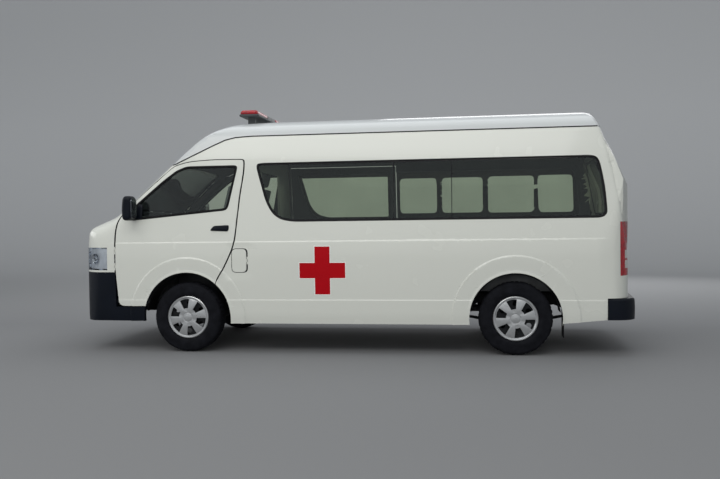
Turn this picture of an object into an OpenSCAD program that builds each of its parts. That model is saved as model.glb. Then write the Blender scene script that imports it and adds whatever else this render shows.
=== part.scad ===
// High-roof ambulance van. +X runs to the rear, +Y to the vehicle's right, +Z up; the ground is z = 0.

/* [Overall] */
// Length over the bumpers
body_len = 5380; // [4900:10:6500]
// Width of the body without mirrors
body_w = 1880; // [1740:10:2260]
// Height of the roof crown above the ground
body_h = 2285; // [2200:5:2500]
// Distance between the axles
wheelbase = 3110; // [2900:10:3300]
// Front end to front axle
front_overhang = 1150; // [1100:10:1200]

/* [Wheels] */
// Tyre outer radius
tyre_r = 336; // [300:1:350]
// Tyre width
tyre_w = 195; // [165:1:215]
// Rim radius at the bead seat
rim_r = 192; // [180:1:230]
// Distance between the wheel centres across the vehicle
track = 1654; // [1600:2:1680]
// Radius of the stub axles
stub_r = 24; // [20:1:30]
// Radius of the wheel bolt circle
bolt_circle_r = 69.85; // [55:0.05:80]
// Radius of a wheel bolt hole
bolt_hole_r = 8; // [6:0.5:9]

/* [Shell] */
// Thickness of doors and walls
wall = 40; // [30:1:50]
// Thickness of a pane of glass
glass_t = 6; // [4:0.5:8]
// Gap round a moving panel
panel_gap = 8; // [6:0.5:12]
// Gap behind the rear edge of a swinging door
swing_gap = 14; // [12:0.5:20]
// Gap along a hinge line
hinge_gap = 15; // [13:0.5:18]
// Radius of the hinge knuckles
hinge_r = 3.5; // [3:0.1:4]
// Clearance between pieces that seat on each other
seat = 0.3; // [0.2:0.05:0.5]
// Front wheel arch radius
arch_f_r = 434; // [420:1:450]
// Rear wheel arch radius
arch_r_r = 418; // [405:1:435]
// Bottom of the sills
sill_z = 280; // [250:1:300]
// Top of the load floor
floor_z = 600; // [580:1:640]
// Top of the seat platform over the engine
platform_z = 860; // [840:1:880]
// Top of the cab's foot well
foot_z = 505; // [500:1:520]
// Thickness of the floor pressing
floor_t = 36; // [20:1:40]
// Roof seam above the side windows
gutter_z = 2078; // [2060:1:2095]

/* [Hidden] */
$fn = 48;
xf = -body_len / 2;
xr = body_len / 2;
half = body_w / 2;
axle_f = xf + front_overhang;
axle_r = axle_f + wheelbase;
wheel_y = track / 2;
axle_z = tyre_r;
far = 4000;
cross = half + 400;

// Corner radius and bow of the outlines that round the body off: [radius, bow]
nose_plan = [300, 60];
tail_plan = [230, 70];
screen_plan = [190, 90];
hood_plan = [205, 88];
gate_plan = [150, 45];

screen_base = [xf + 365, 1372];
screen_top = [xf + 955, 1884];
screen_a = atan2(screen_top.y - screen_base.y, screen_top.x - screen_base.x);
hood_brow = [xf + 205, 1308];
hood_a = atan2(screen_base.y - hood_brow.y, screen_base.x - hood_brow.x);
gate_foot = [xr - 162, 1723];
gate_head = [xr - 325, 2090];
gate_a = atan2(gate_head.y - gate_foot.y, gate_head.x - gate_foot.x);

// Centre line of the body seen from the side: [x, z], from the bumper's underside up over the roof
side_line = [
    [xf + 75, sill_z], [xf + 20, 360], [xf, 560], [xf + 8, 775], [xf + 62, 1018], [xf + 92, 1130],
    [xf + 135, 1235], hood_brow, screen_base, screen_top,
    screen_top + 115 * [1, tan(screen_a)], [xf + 1270, body_h - 198], [xf + 1480, body_h - 95],
    [xf + 1640, body_h - 38], [xf + 1830, body_h - 8], [xf + 2050, body_h],
    [xr - 470, body_h], [xr - 395, body_h - 22], [xr - 345, body_h - 90],
    gate_head, gate_foot, [xr - 114, 1544], [xr - 86, 1379],
    [xr - 68, 1203], [xr - 60, 997], [xr - 60, sill_z]
];

// Half section: [inset from the full half width, z]
section_line = [
    [36, sill_z], [22, 360], [6, 620], [0, 1000], [25, 1257], [98, 1812], [165, gutter_z],
    [215, body_h - 120], [320, body_h - 72], [470, body_h - 42], [680, body_h - 13]
];

// Door outline from its front top corner: [x from the front axle, z]
door_line = [
    [-640, 1361], [-698, 1275], [-716, 1150], [-717, 784], [-693, 446], [-300, 446], [270, 560],
    [288, 688], [353, 786], [406, 889], [450, 985], [478, 1075], [523, 1514], [556, 1735], [556, 1836],
    [540, 1849], [245, 1852], [14, 1838], [-140, 1800], [-264, 1697], [-545, 1455]
];
door_glass_line = [
    [-574, 1284], [385, 1371], [406, 1394], [487, 1770], [478, 1786], [-10, 1786], [-112, 1746],
    [-239, 1652], [-518, 1418]
];
// The sliding door and its window, both from the front axle
slide_x = [635, 1860];
slide_z = [330, 1870];
slide_glass_line = [[720, 1750], [805, 1440], [860, 1350], [940, 1290], [1060, 1262], [1800, 1262],
    [1800, 1790], [715, 1790]];
// Side window band: x from the front axle at the front end and from the rear end at the back
band_z = [1251, 1805];
band_front = axle_f + 790;
band_back = xr - 316;
pane_cuts = [axle_f + 2008, axle_f + 2544];
flap_box = [axle_f + 458, axle_f + 599, 772, 992];

bumper_top = 775;
step_top = 436;
lamp_z = [795, 1015];
lamp_y = 470;
bonnet_y = 640;
bonnet_z = 1030;
gate_y = [[725, 575], [745, 1150], [690, gutter_z - hinge_gap]];
gate_glass_y = [[665, 1290], [625, 1830]];
tail_lamp_z = [724, 1208];
rear_bumper_z = [329, 523];

kingpin_y = wheel_y - 66;
platform_x = [axle_f - 412, axle_f + 462];
partition_x = axle_f + 580;
bulkhead_x = [xf + 348, xf + 378];
house_y = 640;
house_x = 440;
house_top = 800;
rail_y = 430;
rail_w = 60;
bar_x = [axle_f + 435, axle_f + 635];
bar_z = [2302, 2368];
bar_half = 560;
gear_end = axle_f + 790;
axle_nose = axle_r - 190;

// ---- outlines -------------------------------------------------------------------------------

// Twice the signed area of a closed outline: positive when it runs anticlockwise
function turn(p) = let (n = len(p))
    [for (i = [0:n - 1]) p[i].x * p[(i + 1) % n].y - p[(i + 1) % n].x * p[i].y] * [for (i = [0:n - 1]) 1];
function unit(v) = v / norm(v);
// A closed outline moved outwards by d, corners mitred
function grow(p, d) = let (n = len(p), s = turn(p) > 0 ? 1 : -1) [for (i = [0:n - 1]) let (
    a = unit(p[i] - p[(i + n - 1) % n]),
    b = unit(p[(i + 1) % n] - p[i]),
    na = s * [a.y, -a.x],
    nb = s * [b.y, -b.x]
) p[i] + d * (na + nb) / (1 + na * nb)];
// A bowed edge with rounded ends: [across, depth behind the middle]
function crown(w, bow, r, steps = 4) = concat(
    [for (i = [0:steps]) let (t = 90 - 90 * i / steps)
        [-(w - r) - r * sin(t), bow * pow((w - r) / w, 2) + r * (1 - cos(t))]],
    [for (i = [1:4]) let (y = (w - r) * (0.4 * i - 1)) [y, bow * pow(y / w, 2)]],
    [for (i = [0:steps]) let (t = 90 * i / steps)
        [w - r + r * sin(t), bow * pow((w - r) / w, 2) + r * (1 - cos(t))]]
);
// A closed outline with each corner drawn out to a curve that starts r away from it
function rounded(p, r, steps = 4) = let (n = len(p)) [for (i = [0:n - 1]) let (
    b = p[i],
    u = p[(i + n - 1) % n] - b,
    v = p[(i + 1) % n] - b,
    from = b + u * min(r / norm(u), 0.45),
    to = b + v * min(r / norm(v), 0.45)
) for (k = [0:steps]) let (t = k / steps) (1 - t) * (1 - t) * from + 2 * t * (1 - t) * b + t * t * to];
function rect(x0, x1, z0, z1) = [[x0, z0], [x1, z0], [x1, z1], [x0, z1]];

// An outline with its first and last points put at height z
function footed(p, z) = [for (i = [0:len(p) - 1]) i == 0 || i == len(p) - 1 ? [p[i].x, z] : p[i]];

// ---- prisms ---------------------------------------------------------------------------------

module along_y(p, y0, y1) { translate([0, y1, 0]) rotate([90, 0, 0]) linear_extrude(y1 - y0) polygon(p); }
module along_x(p, x0, x1) { translate([x0, 0, 0]) rotate([90, 0, 90]) linear_extrude(x1 - x0) polygon(p); }
module along_z(p, z0, z1) { translate([0, 0, z0]) linear_extrude(z1 - z0) polygon(p); }
module block(x0, x1, y0, y1, z0, z1) { translate([x0, y0, z0]) cube([x1 - x0, y1 - y0, z1 - z0]); }
module both() { children(); mirror([0, 1, 0]) children(); }
module on_side(s) { if (s > 0) children(); else mirror([0, 1, 0]) children(); }
// A sloping bound: everything below a bowed surface that passes through p at angle a
module bowed_bound(p, a, plan, d) {
    w = half - d + 1;
    edge = crown(w, plan[1], plan[0] - d);
    outline = concat([[-w, -2 * far]], [for (q = edge) [q.x, -q.y - d]], [[w, -2 * far]]);
    translate([p.x, 0, p.y]) rotate([0, -a, 0]) along_x(outline, -2 * far, 2 * far);
}

// One hinge about local z; local x runs from the fixed panel to the moving one, local y outwards
knuckle_h = 24;
module hinge_leaf(moving) {
    reach = hinge_gap / 2 + 3;
    for (k = moving ? [0] : [-1, 1]) translate([0, 0, k * (knuckle_h + seat)]) {
        cylinder(r = hinge_r, h = knuckle_h, center = true);
        translate([moving ? 0 : -reach, -hinge_r, -knuckle_h / 2]) cube([reach, hinge_r, knuckle_h]);
    }
}
// Hinge lines; each sits just under the skin, halfway across its gap
hinge_in = 4;
door_axis = [axle_f - 717 - hinge_gap / 2, half - hinge_in];
gate_axis = [gate_head.x + (gate_head.y - gutter_z + hinge_gap / 2) * (gate_foot.x - gate_head.x)
    / (gate_head.y - gate_foot.y) - hinge_in - 0.6, gutter_z - hinge_gap / 2];
bonnet_axis = [xf + 340, hood_brow.y + 135 * tan(hood_a) - hinge_in - 2];
lid_hinge_y = 45;
flap_axis = [flap_box[1] + hinge_gap / 2, half - hinge_in + 1];
module door_hinges(moving) {
    for (z = [830, 985]) translate([door_axis.x, door_axis.y, z]) hinge_leaf(moving);
}
module gate_hinges(moving) {
    for (y = [-lid_hinge_y, lid_hinge_y]) translate([gate_axis.x, y, gate_axis.y])
        rotate([0, 90, -90]) hinge_leaf(moving);
}
module bonnet_hinges(moving) {
    for (y = [-lid_hinge_y, lid_hinge_y]) translate([bonnet_axis.x, y, bonnet_axis.y])
        rotate([90, hood_a, 180]) hinge_leaf(moving);
}
module flap_hinges(moving) {
    translate([flap_axis.x, -flap_axis.y, (flap_box[2] + flap_box[3]) / 2])
        rotate([0, 0, 180]) hinge_leaf(moving);
}

// The body's outer form, drawn in by d on every side but open downwards
module envelope(d) {
    foot = sill_z - (d > 0 ? 60 : 0);
    profile = footed(grow(side_line, -d), foot);
    right = [for (q = section_line) [half - q[0], q[1]]];
    ring = concat(right, [for (i = [len(right) - 1:-1:0]) [-right[i].x, right[i].y]]);
    section = footed(grow(ring, -d), foot);
    nose = [for (q = crown(half - d + 1, nose_plan[1], nose_plan[0] - d)) [xf + d + q.y, q.x]];
    tail = [for (q = crown(half - d + 1, tail_plan[1], tail_plan[0] - d)) [xr - 60 - d - q.y, -q.x]];
    intersection() {
        along_y(profile, -cross, cross);
        along_x(section, -far, far);
        along_z(concat(nose, tail), -100, far);
        union() {
            bowed_bound(screen_top, screen_a, screen_plan, d);
            bowed_bound(screen_base, hood_a, hood_plan, d);
        }
        bowed_bound(gate_foot, gate_a - 180, gate_plan, d);
    }
}
module shell() { difference() { envelope(0); envelope(wall); } }
// A pane let into the shell
module pane() { difference() { envelope(5); envelope(5 + glass_t); } }

// ---- regions of the shell ----------------------------------------------------------------------

door_outline = rounded([for (p = door_line) [p.x + axle_f, p.y]], 60);
// The door's opening: the usual gap, and more behind the edge that swings past the pillar
door_opening = [for (p = grow(door_outline, panel_gap))
    p.x > axle_f + 200 && p.y > 700 ? [p.x + swing_gap - panel_gap, p.y] :
    p.x < axle_f - 600 ? [p.x - hinge_gap + panel_gap, p.y] : p];
door_pane = rounded([for (p = door_glass_line) [p.x + axle_f, p.y]], 40);
slide_outline = rect(axle_f + slide_x[0], axle_f + slide_x[1], slide_z[0], slide_z[1]);
slide_window = rounded([for (p = slide_glass_line) [p.x + axle_f, p.y]], 45);
// Lower edge of the roof pressing seen from the side
pillar_x = xf + 1014;
roof_line = [
    [xf + 900, 1930], [pillar_x, 1808], [axle_f + 110, 1931], [axle_f + 361, 2046], [axle_f + 462, 2069],
    [axle_f + 616, gutter_z], [far, gutter_z], [far, far], [xf + 900, far]
];
band_outline = rounded([
    [band_front - 100, band_z[1] - 26], [band_front - 2, 1450], [band_front + 62, 1333],
    [band_front + 145, 1272], [band_front + 267, band_z[0]], [band_back - 39, band_z[0]],
    [band_back - 2, 1285], [band_back, 1328], [band_back - 13, 1517], [band_back - 44, 1707],
    [band_back - 66, band_z[1] - 24], [band_back - 110, band_z[1]], [band_front - 85, band_z[1]]
], 60);

module roof_region() { along_y(roof_line, -cross, cross); }
module gate_region(d) {
    ring = concat([for (q = gate_y) q], [for (i = [2:-1:0]) [-gate_y[i][0], gate_y[i][1]]]);
    along_x(grow(rounded(ring, 45), d), xr - 480, xr + 100);
}
module gate_glass_region(d) {
    ring = concat(gate_glass_y, [for (i = [1:-1:0]) [-gate_glass_y[i][0], gate_glass_y[i][1]]]);
    along_x(grow(rounded(ring, 70), d), xr - 480, xr + 100);
}
module bumper_region(d) {
    along_y(grow([[xf - 100, 300], [axle_f - 100, 300], [axle_f - 100, step_top], [axle_f - 725, step_top],
        [axle_f - 725, bumper_top], [xf - 100, bumper_top]], d), -cross, cross);
}
module lamp_region(d) {
    both() block(xf - 100, xf + 343 + d, lamp_y - d, cross, lamp_z[0] - d, lamp_z[1] + d);
}
module grille_region(d) {
    block(xf - 100, xf + 300, -lamp_y + 6 - d, lamp_y - 6 + d, lamp_z[0] - d, lamp_z[1] + d);
}
// The lid, and with a hinge gap behind it the opening that it closes
module bonnet_region(d) {
    rear = bonnet_axis.x - hinge_gap / 2 + (d > 0 ? hinge_gap : 0);
    along_y([[xf - 100, bonnet_z - d], [xf + 200, bonnet_z - d], [rear + 10, 1240], [rear, 1330],
        [rear, 1420], [xf - 100, 1420]], -bonnet_y - d, bonnet_y + d);
}
// The windscreen opening, drawn in the plane of the glass: [up the glass, across]
module screen_region(d) {
    long = norm(screen_top - screen_base);
    translate([screen_base.x, 0, screen_base.y]) rotate([0, -screen_a, 0])
        along_z(
            grow(rounded([[35, -775], [long - 45, -690], [long - 45, 690], [35, 775]], 80), d),
            -250, 100
        );
}
module arch(x, r) { translate([x, cross, axle_z]) rotate([90, 0, 0]) cylinder(r = r, h = 2 * cross); }
module arches() { arch(axle_f, arch_f_r); arch(axle_r, arch_r_r); }
module tail_lamp_region(d) {
    both() block(xr - 198 - d, xr + 50, 755 - d, cross, tail_lamp_z[0] - d, tail_lamp_z[1] + d);
}

// ---- body --------------------------------------------------------------------------------------

// Side pressing: s is 1 on the right and -1 on the left
module body_side(s) {
    low = rect(axle_f + 150, far, sill_z - 100, gutter_z + 500);
    high = rect(pillar_x, axle_f + 250, 1700, body_h);
    difference() {
        intersection() {
            shell();
            on_side(s) union() { along_y(low, 400, cross); along_y(high, 400, cross); }
        }
        translate([0, 0, -seat]) roof_region();
        along_y(door_opening, -cross, cross);
        arches();
        along_y(band_outline, -cross, cross);
        gate_region(panel_gap);
        tail_lamp_region(seat);
        rear_bumper_region(seat);
        along_x(rect(-sill_y, sill_y, 100, gate_y[0][1]), xr - 480, xr + 100);
        if (s > 0) along_y(grow(slide_outline, panel_gap), 0, cross);
        if (s < 0) fuel_pocket();
    }
}
// The tail below the load floor: the bumper's place, and what is cut away under it
bumper_x = xr - 314;
sill_y = 742;
module rear_bumper_region(d) {
    along_y([[bumper_x - d, rear_bumper_z[1] + d], [bumper_x - d, rear_bumper_z[0]],
        [axle_r + arch_r_r, 295], [axle_r + arch_r_r, 100], [far, 100], [far, rear_bumper_z[1] + d]],
        -cross, cross);
}
module fuel_pocket() {
    difference() {
        along_y(rounded(rect(flap_box[0] - 6, flap_box[1] + hinge_gap, flap_box[2] - 6, flap_box[3] + 6), 44),
            -cross, 0);
        envelope(wall - 8);
    }
}
module body_side_left() {
    color("#e9ebe3") {
        body_side(-1);
        flap_hinges(false);
    }
}
module body_side_right() { color("#e9ebe3") body_side(1); }

module roof() {
    color("#eceee7") {
        intersection() {
            shell();
            roof_region();
        }
        gate_hinges(false);
    }
}

module front_cowl() {
    color("#e6e8e0") {
        nose_frame();
        both() door_hinges(false);
        bonnet_hinges(false);
    }
}
module nose_frame() {
    difference() {
        union() {
            intersection() {
                shell();
                along_y(rect(xf - 50, pillar_x - seat, bumper_top + seat, 1960), -cross, cross);
            }
            // bulkhead between the nose and the cab, narrower behind the bumper
            intersection() {
                envelope(10);
                along_y(rect(bulkhead_x[0], bulkhead_x[1], bumper_top + seat, 1345), -cross, cross);
            }
            intersection() {
                envelope(wall + seat);
                along_y(rect(bulkhead_x[0], bulkhead_x[1], foot_z - floor_t, lamp_z[0]), -cross, cross);
            }
        }
        translate([0, 0, -seat]) roof_region();
        along_y(door_opening, -cross, cross);
        along_y(rect(axle_f - 725, far, 0, 1100), -cross, cross);
        screen_region(0);
        bonnet_region(panel_gap);
        lamp_region(seat);
        grille_region(seat);
    }
}

module windscreen() { color("#1d2426") intersection() { pane(); screen_region(-seat); } }

// Fixed panes of both sides, parted at the window bars
module side_glass() {
    color("#23292b") difference() {
        intersection() { pane(); both() along_y(grow(band_outline, -seat), 400, cross); }
        for (x = pane_cuts) along_y(rect(x - seat, x + seat, 0, far), -cross, 0);
        along_y(grow(slide_outline, panel_gap + seat), 0, cross);
    }
    color("#23292b") intersection() {
        pane();
        along_y(grow(slide_window, -seat), 0, cross);
    }
}

module sliding_door() {
    color("#e9ebe3") difference() {
        intersection() { shell(); along_y(slide_outline, 400, cross); }
        along_y(slide_window, 0, cross);
    }
}

module front_bumper() {
    color("#22252a") difference() {
        intersection() { shell(); bumper_region(0); }
        arches();
    }
}

module rear_bumper() {
    w = half - 9;
    outer = [for (q = crown(w, 75, 190)) [xr - q.y, q.x]];
    inner = [for (q = crown(w - wall, 75, 190 - wall)) [xr - wall - q.y, q.x]];
    color("#22252a") difference() {
        along_z(concat([[bumper_x, -w]], outer, [[bumper_x, w]]), rear_bumper_z[0], rear_bumper_z[1]);
        along_z(concat([[axle_r, wall - w]], inner, [[axle_r, w - wall]]), 0, far);
    }
}

module grille() {
    color("#3a3f43") difference() {
        intersection() { shell(); grille_region(0); }
        for (z = [lamp_z[0] + 45:50:lamp_z[1] - 60])
            block(xf - 100, xf + 300, -lamp_y + 60, lamp_y - 60, z, z + 24);
    }
}
module headlamps() { color("#c9d2d6") intersection() { shell(); lamp_region(0); } }
module tail_lamps() { color("#a3161c") intersection() { shell(); tail_lamp_region(0); } }

// Stepped floor: foot well, platform over the engine and front wheels, load floor, rear wheel houses
module floor_pan() {
    t = floor_t;
    x0 = bulkhead_x[1] + seat;
    x1 = platform_x[0];
    x2 = platform_x[1];
    x3 = xr - 60;
    steps = [[x0, foot_z - t], [x1, foot_z - t], [x1, platform_z - t], [x2 - t, platform_z - t],
        [x2 - t, floor_z - t], [x3, floor_z - t], [x3, floor_z], [x2, floor_z], [x2, platform_z],
        [x1 - t, platform_z], [x1 - t, foot_z], [x0, foot_z]];
    color("#5b6063") difference() {
        intersection() {
            envelope(wall + seat);
            union() {
                along_y(steps, -cross, cross);
                both() block(axle_r - house_x, axle_r + house_x, house_y - t, cross, floor_z - t, house_top);
            }
        }
        both() block(axle_r - house_x + t, axle_r + house_x - t, house_y, cross, 100, house_top - t);
        // clear of the front doors and of the tailgate
        both() block(x0 - 1, x2 + 1, half - wall - 30, cross, 100, platform_z + 10);
        difference() {
            block(xr - 480, xr, -cross, cross, sill_top, far);
            envelope(wall + panel_gap);
        }
    }
    // rear cross sill, carrying the end of the floor
    color("#5b6063") intersection() {
        difference() {
            envelope(0);
            translate([0, 0, -2 * wall]) envelope(wall);
            block(xr - 600, xr - 230, -cross, cross, 0, far);
        }
        block(xr - 400, xr, seat - sill_y, sill_y - seat, rear_bumper_z[0] + 60, sill_top);
    }
}
sill_top = gate_y[0][1] - panel_gap;

// ---- underbody -----------------------------------------------------------------------------------

// Height of a rail along the vehicle: [x, lower edge]
rail_run = [[xf + 130, 352], [axle_r - 480, 352], [axle_r - 330, 440], [axle_r + 330, 440],
    [axle_r + 480, 380], [xr - 130, 380]];
rail_h = 84;
tow_eye = [xr - 170, -300, 312];
tow_eye_r = 15;
spring_end = 600;
spring_y = 545;
module chassis_frame() {
    outline = concat(rail_run, [for (i = [len(rail_run) - 1:-1:0]) rail_run[i] + [0, rail_h]]);
    color("#2c2f31") {
        union() {
            both() along_y(outline, rail_y - rail_w / 2, rail_y + rail_w / 2);
            for (x = [axle_f + 840, axle_f + 1840, axle_r - 560, axle_r + 560])
                block(x - 40, x + 40, -800, 800, 352 + rail_h - 10, floor_z - floor_t - seat);
            block(xf + 130, xf + 210, -rail_y, rail_y, 352, 352 + rail_h);
            block(xr - 210, xr - 130, -rail_y, rail_y, 380, 380 + rail_h);
            difference() {
                block(tow_eye.x - 34, tow_eye.x + 34, tow_eye.y - 8, tow_eye.y + 8, tow_eye.z - 34, 390);
                translate([tow_eye.x, tow_eye.y + 20, tow_eye.z]) rotate([90, 0, 0])
                    cylinder(r = tow_eye_r, h = 40);
            }
            block(xf + 400, xf + 460, -700, 700, 352 + rail_h - 10, foot_z - floor_t - seat);
            both() for (x = [axle_r - spring_end, axle_r + spring_end])
                block(x - 40, x + 40, rail_y, spring_y + 35, 345 + seat, 430);
        }
    }
}

arm_z = [238, 440];
module front_suspension() {
    beam_x = 60;
    color("#33373a") {
        block(axle_f - beam_x, axle_f + beam_x, -rail_y - 30, rail_y + 30, 226, 286);
        both() block(axle_f - beam_x, axle_f + beam_x, rail_y - 30, rail_y + 30, 285, 352 - seat);
        // upper arm towers stand on the rails
        both() block(axle_f - beam_x, axle_f + beam_x, rail_y - 28, rail_y + 30, 352 + rail_h + seat, 470);
        for (z = arm_z) both() along_z([[axle_f - 58, rail_y + 10], [axle_f + 58, rail_y + 10],
            [axle_f + 24, kingpin_y + 20], [axle_f - 24, kingpin_y + 20]], z, z + 24);
        both() block(axle_f - 58, axle_f + 58, rail_y + 10, rail_y + 30, 226, 262);
    }
}

module knuckle(s) {
    on_side(s) color("#4a4e50") {
        translate([axle_f, kingpin_y, arm_z[0] + 24 + seat])
            cylinder(r = 22, h = arm_z[1] - arm_z[0] - 24 - 2 * seat);
        translate([axle_f, kingpin_y + 88, axle_z]) rotate([90, 0, 0]) cylinder(r = stub_r, h = 88);
        translate([axle_f, kingpin_y + 24, axle_z]) rotate([90, 0, 0]) cylinder(r = 62, h = 26);
    }
}
module knuckle_left() { knuckle(-1); }
module knuckle_right() { knuckle(1); }

module rear_axle() {
    color("#33373a") {
        translate([axle_r, wheel_y + 22, axle_z])
            rotate([90, 0, 0])
                cylinder(r = stub_r, h = 2 * wheel_y + 44);
        translate([axle_r, wheel_y - 60, axle_z]) rotate([90, 0, 0]) cylinder(r = 44, h = 2 * wheel_y - 120);
        translate([axle_r, 0, axle_z]) sphere(r = 125);
        translate([axle_nose, 0, axle_z]) rotate([0, 90, 0]) cylinder(r = 55, h = 130);
        both() translate([axle_r, wheel_y - 42, axle_z]) rotate([90, 0, 0]) cylinder(r = 62, h = 30);
        both() block(axle_r - 55, axle_r + 55, spring_y - 35, spring_y + 35, 285, 320);
    }
}

module leaf_springs() {
    // leaf pack seen from the side: [x from the axle, top of the leaf]
    run = [[-spring_end - 50, 345], [-spring_end + 50, 345], [-260, 300], [-70, 285 - seat], [70, 285 - seat],
        [260, 300], [spring_end - 50, 345], [spring_end + 50, 345]];
    thick = [14, 14, 26, 40, 40, 26, 14, 14];
    upper = [for (p = run) [p.x + axle_r, p.y]];
    lower = [for (i = [len(run) - 1:-1:0]) [run[i].x + axle_r, run[i].y - thick[i]]];
    color("#2b2e30") both() along_y(concat(upper, lower), spring_y - 30, spring_y + 30);
}

engine_x = [axle_f - 330, axle_f + 300];
module engine_block() {
    color("#6b6f70") block(engine_x[0], engine_x[1], -300, 300, 286 + seat, platform_z - floor_t - 15);
}

module propeller_shaft() {
    shaft_z = axle_z;
    color("#54585a") {
        block(engine_x[1] + seat, gear_end, -110, 110, shaft_z - 90, shaft_z + 80);
        translate([gear_end - 1, 0, shaft_z]) rotate([0, 90, 0])
            cylinder(r = 36, h = axle_nose - gear_end + 1 - seat);
    }
}

module fuel_tank() {
    color("#3d4143") difference() {
        block(axle_f + 900, axle_f + 1780, -820, -490, 300, 540);
        block(axle_f + 800, axle_f + 1900, -900, -400, 352 + rail_h - 30, 700);
    }
    // straps up to the cross members
    color("#3d4143") for (x = [axle_f + 960, axle_f + 1680])
        block(x, x + 40, -780, -520, 352 + rail_h - 30, floor_z - floor_t - seat);
}

module exhaust() {
    color("#8a8d8c") {
        translate([axle_f + 320, 250, 300]) rotate([0, 90, 0]) cylinder(r = 26, h = 600);
        block(axle_f + 880, axle_f + 1520, 180, 360, 245, 335);
        translate([axle_f + 1500, 250, 300]) rotate([0, 90, 0]) cylinder(r = 26, h = 1000);
    }
    color("#8a8d8c") for (x = [axle_f + 1000, axle_f + 1400])
        block(x, x + 20, 260, 280, 335, floor_z - floor_t - seat);
}

module mudflaps() {
    x = axle_r + arch_r_r + 6;
    color("#191b1c") both()
        block(x, x + 8, wheel_y - 90, half - section_line[0][0] - wall - seat, 160, floor_z - floor_t - seat);
}

// ---- cab and load space --------------------------------------------------------------------------

// Steering column: tilt from upright, hub of the handwheel, length of the turning part below the hub
column_tilt = 41;
wheel_hub = [axle_f - 352, -400, 1190];
column_top = 60;
module on_column() { translate(wheel_hub) rotate([0, column_tilt, 0]) children(); }
module dashboard() {
    color("#54585c") {
        intersection() {
            envelope(wall + 14);
            along_y([[bulkhead_x[1] + seat, 880], [xf + 600, 880], [xf + 650, 1010],
                [xf + 640, 1190], [xf + 560, 1300],
                [bulkhead_x[1] + seat, 1335]], -cross, cross);
        }
        on_column() translate([0, 0, -260]) cylinder(r = 34, h = 260 - column_top - seat);
    }
}

module steering_wheel() {
    color("#2a2d2f") on_column() {
        rotate_extrude() translate([185, 0]) circle(r = 15);
        for (a = [90, 210, 330]) rotate([0, 0, a]) translate([0, -14, -10]) cube([180, 28, 14]);
        translate([0, 0, -22]) cylinder(r = 62, h = 34);
        translate([0, 0, -column_top]) cylinder(r = 26, h = column_top - 10);
    }
}

seat_y = [-440, 440];
module front_seats() {
    color("#565b60") for (y = seat_y) {
        block(axle_f - 230, axle_f + 260, y - 260, y + 260, platform_z + seat, platform_z + 150);
        along_y([[axle_f + 180, platform_z + 140], [axle_f + 290, platform_z + 140],
            [axle_f + 440, platform_z + 760], [axle_f + 340, platform_z + 760]], y - 245, y + 245);
        along_y([[axle_f + 350, platform_z + 750], [axle_f + 430, platform_z + 750],
            [axle_f + 455, platform_z + 940], [axle_f + 385, platform_z + 940]], y - 130, y + 130);
    }
}

module partition() {
    color("#d5d8d4") difference() {
        intersection() {
            envelope(wall + seat);
            along_y(rect(partition_x, partition_x + 24, floor_z + seat, far), -cross, cross);
        }
        block(partition_x - 10, partition_x + 40, -360, 360, 1330, 1760);
    }
}

module side_bench() {
    color("#3f5a66") difference() {
        block(axle_f + 2010, xr - 300, 480, 820, floor_z + seat, 1010);
        block(axle_r - house_x - seat, axle_r + house_x + seat, house_y - floor_t - seat, cross, 500,
            house_top + seat);
    }
}

module light_bar() {
    mid = (bar_x[0] + bar_x[1]) / 2;
    wide = (bar_x[1] - bar_x[0]) / 2;
    color("#b9bfc2") difference() {
        union() {
            block(bar_x[0], bar_x[1], -bar_half + wide, bar_half - wide, bar_z[0], bar_z[1]);
            both() translate([mid, bar_half - wide, bar_z[0]]) cylinder(r = wide, h = bar_z[1] - bar_z[0]);
            both() block(mid - 25, mid + 25, 430, 470, 2100, bar_z[0] + 5);
        }
        envelope(-seat);
    }
}

// ---- doors and lids --------------------------------------------------------------------------------

module front_door(s) {
    on_side(s) {
        color("#e9ebe3") difference() {
            intersection() { shell(); along_y(door_outline, 400, cross); }
            arches();
            along_y(door_pane, 0, cross);
        }
        color("#e9ebe3") door_hinges(true);
        // mirror on its arm
        color("#1b1d1f") {
            block(axle_f - 575, axle_f - 472, half + 25, half + 170, 1275, 1512);
            block(axle_f - 620, axle_f - 580, half - 62, half + 60, 1300, 1335);
            block(axle_f - 620, axle_f - 560, half + 5, half + 60, 1300, 1335);
        }
    }
}
module front_door_left() { front_door(-1); }
module front_door_right() { front_door(1); }
module door_glass(s) {
    on_side(s) color("#23292b") intersection() { pane(); along_y(grow(door_pane, -seat), 400, cross); }
}
module door_glass_left() { door_glass(-1); }
module door_glass_right() { door_glass(1); }

module tailgate() {
    color("#e9ebe3") {
        difference() {
            intersection() { shell(); gate_region(0); }
            gate_glass_region(0);
        }
        gate_hinges(true);
    }
}
module tailgate_glass() { color("#23292b") intersection() { pane(); gate_glass_region(-seat); } }

module bonnet() {
    color("#e9ebe3") {
        intersection() { shell(); bonnet_region(0); }
        bonnet_hinges(true);
    }
}

module fuel_flap() {
    color("#e9ebe3") {
        intersection() {
            difference() { envelope(0); envelope(8); }
            along_y(rounded(rect(flap_box[0], flap_box[1], flap_box[2], flap_box[3]), 40), -cross, -400);
        }
        flap_hinges(true);
    }
}

// ---- wheels ----------------------------------------------------------------------------------------

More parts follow.
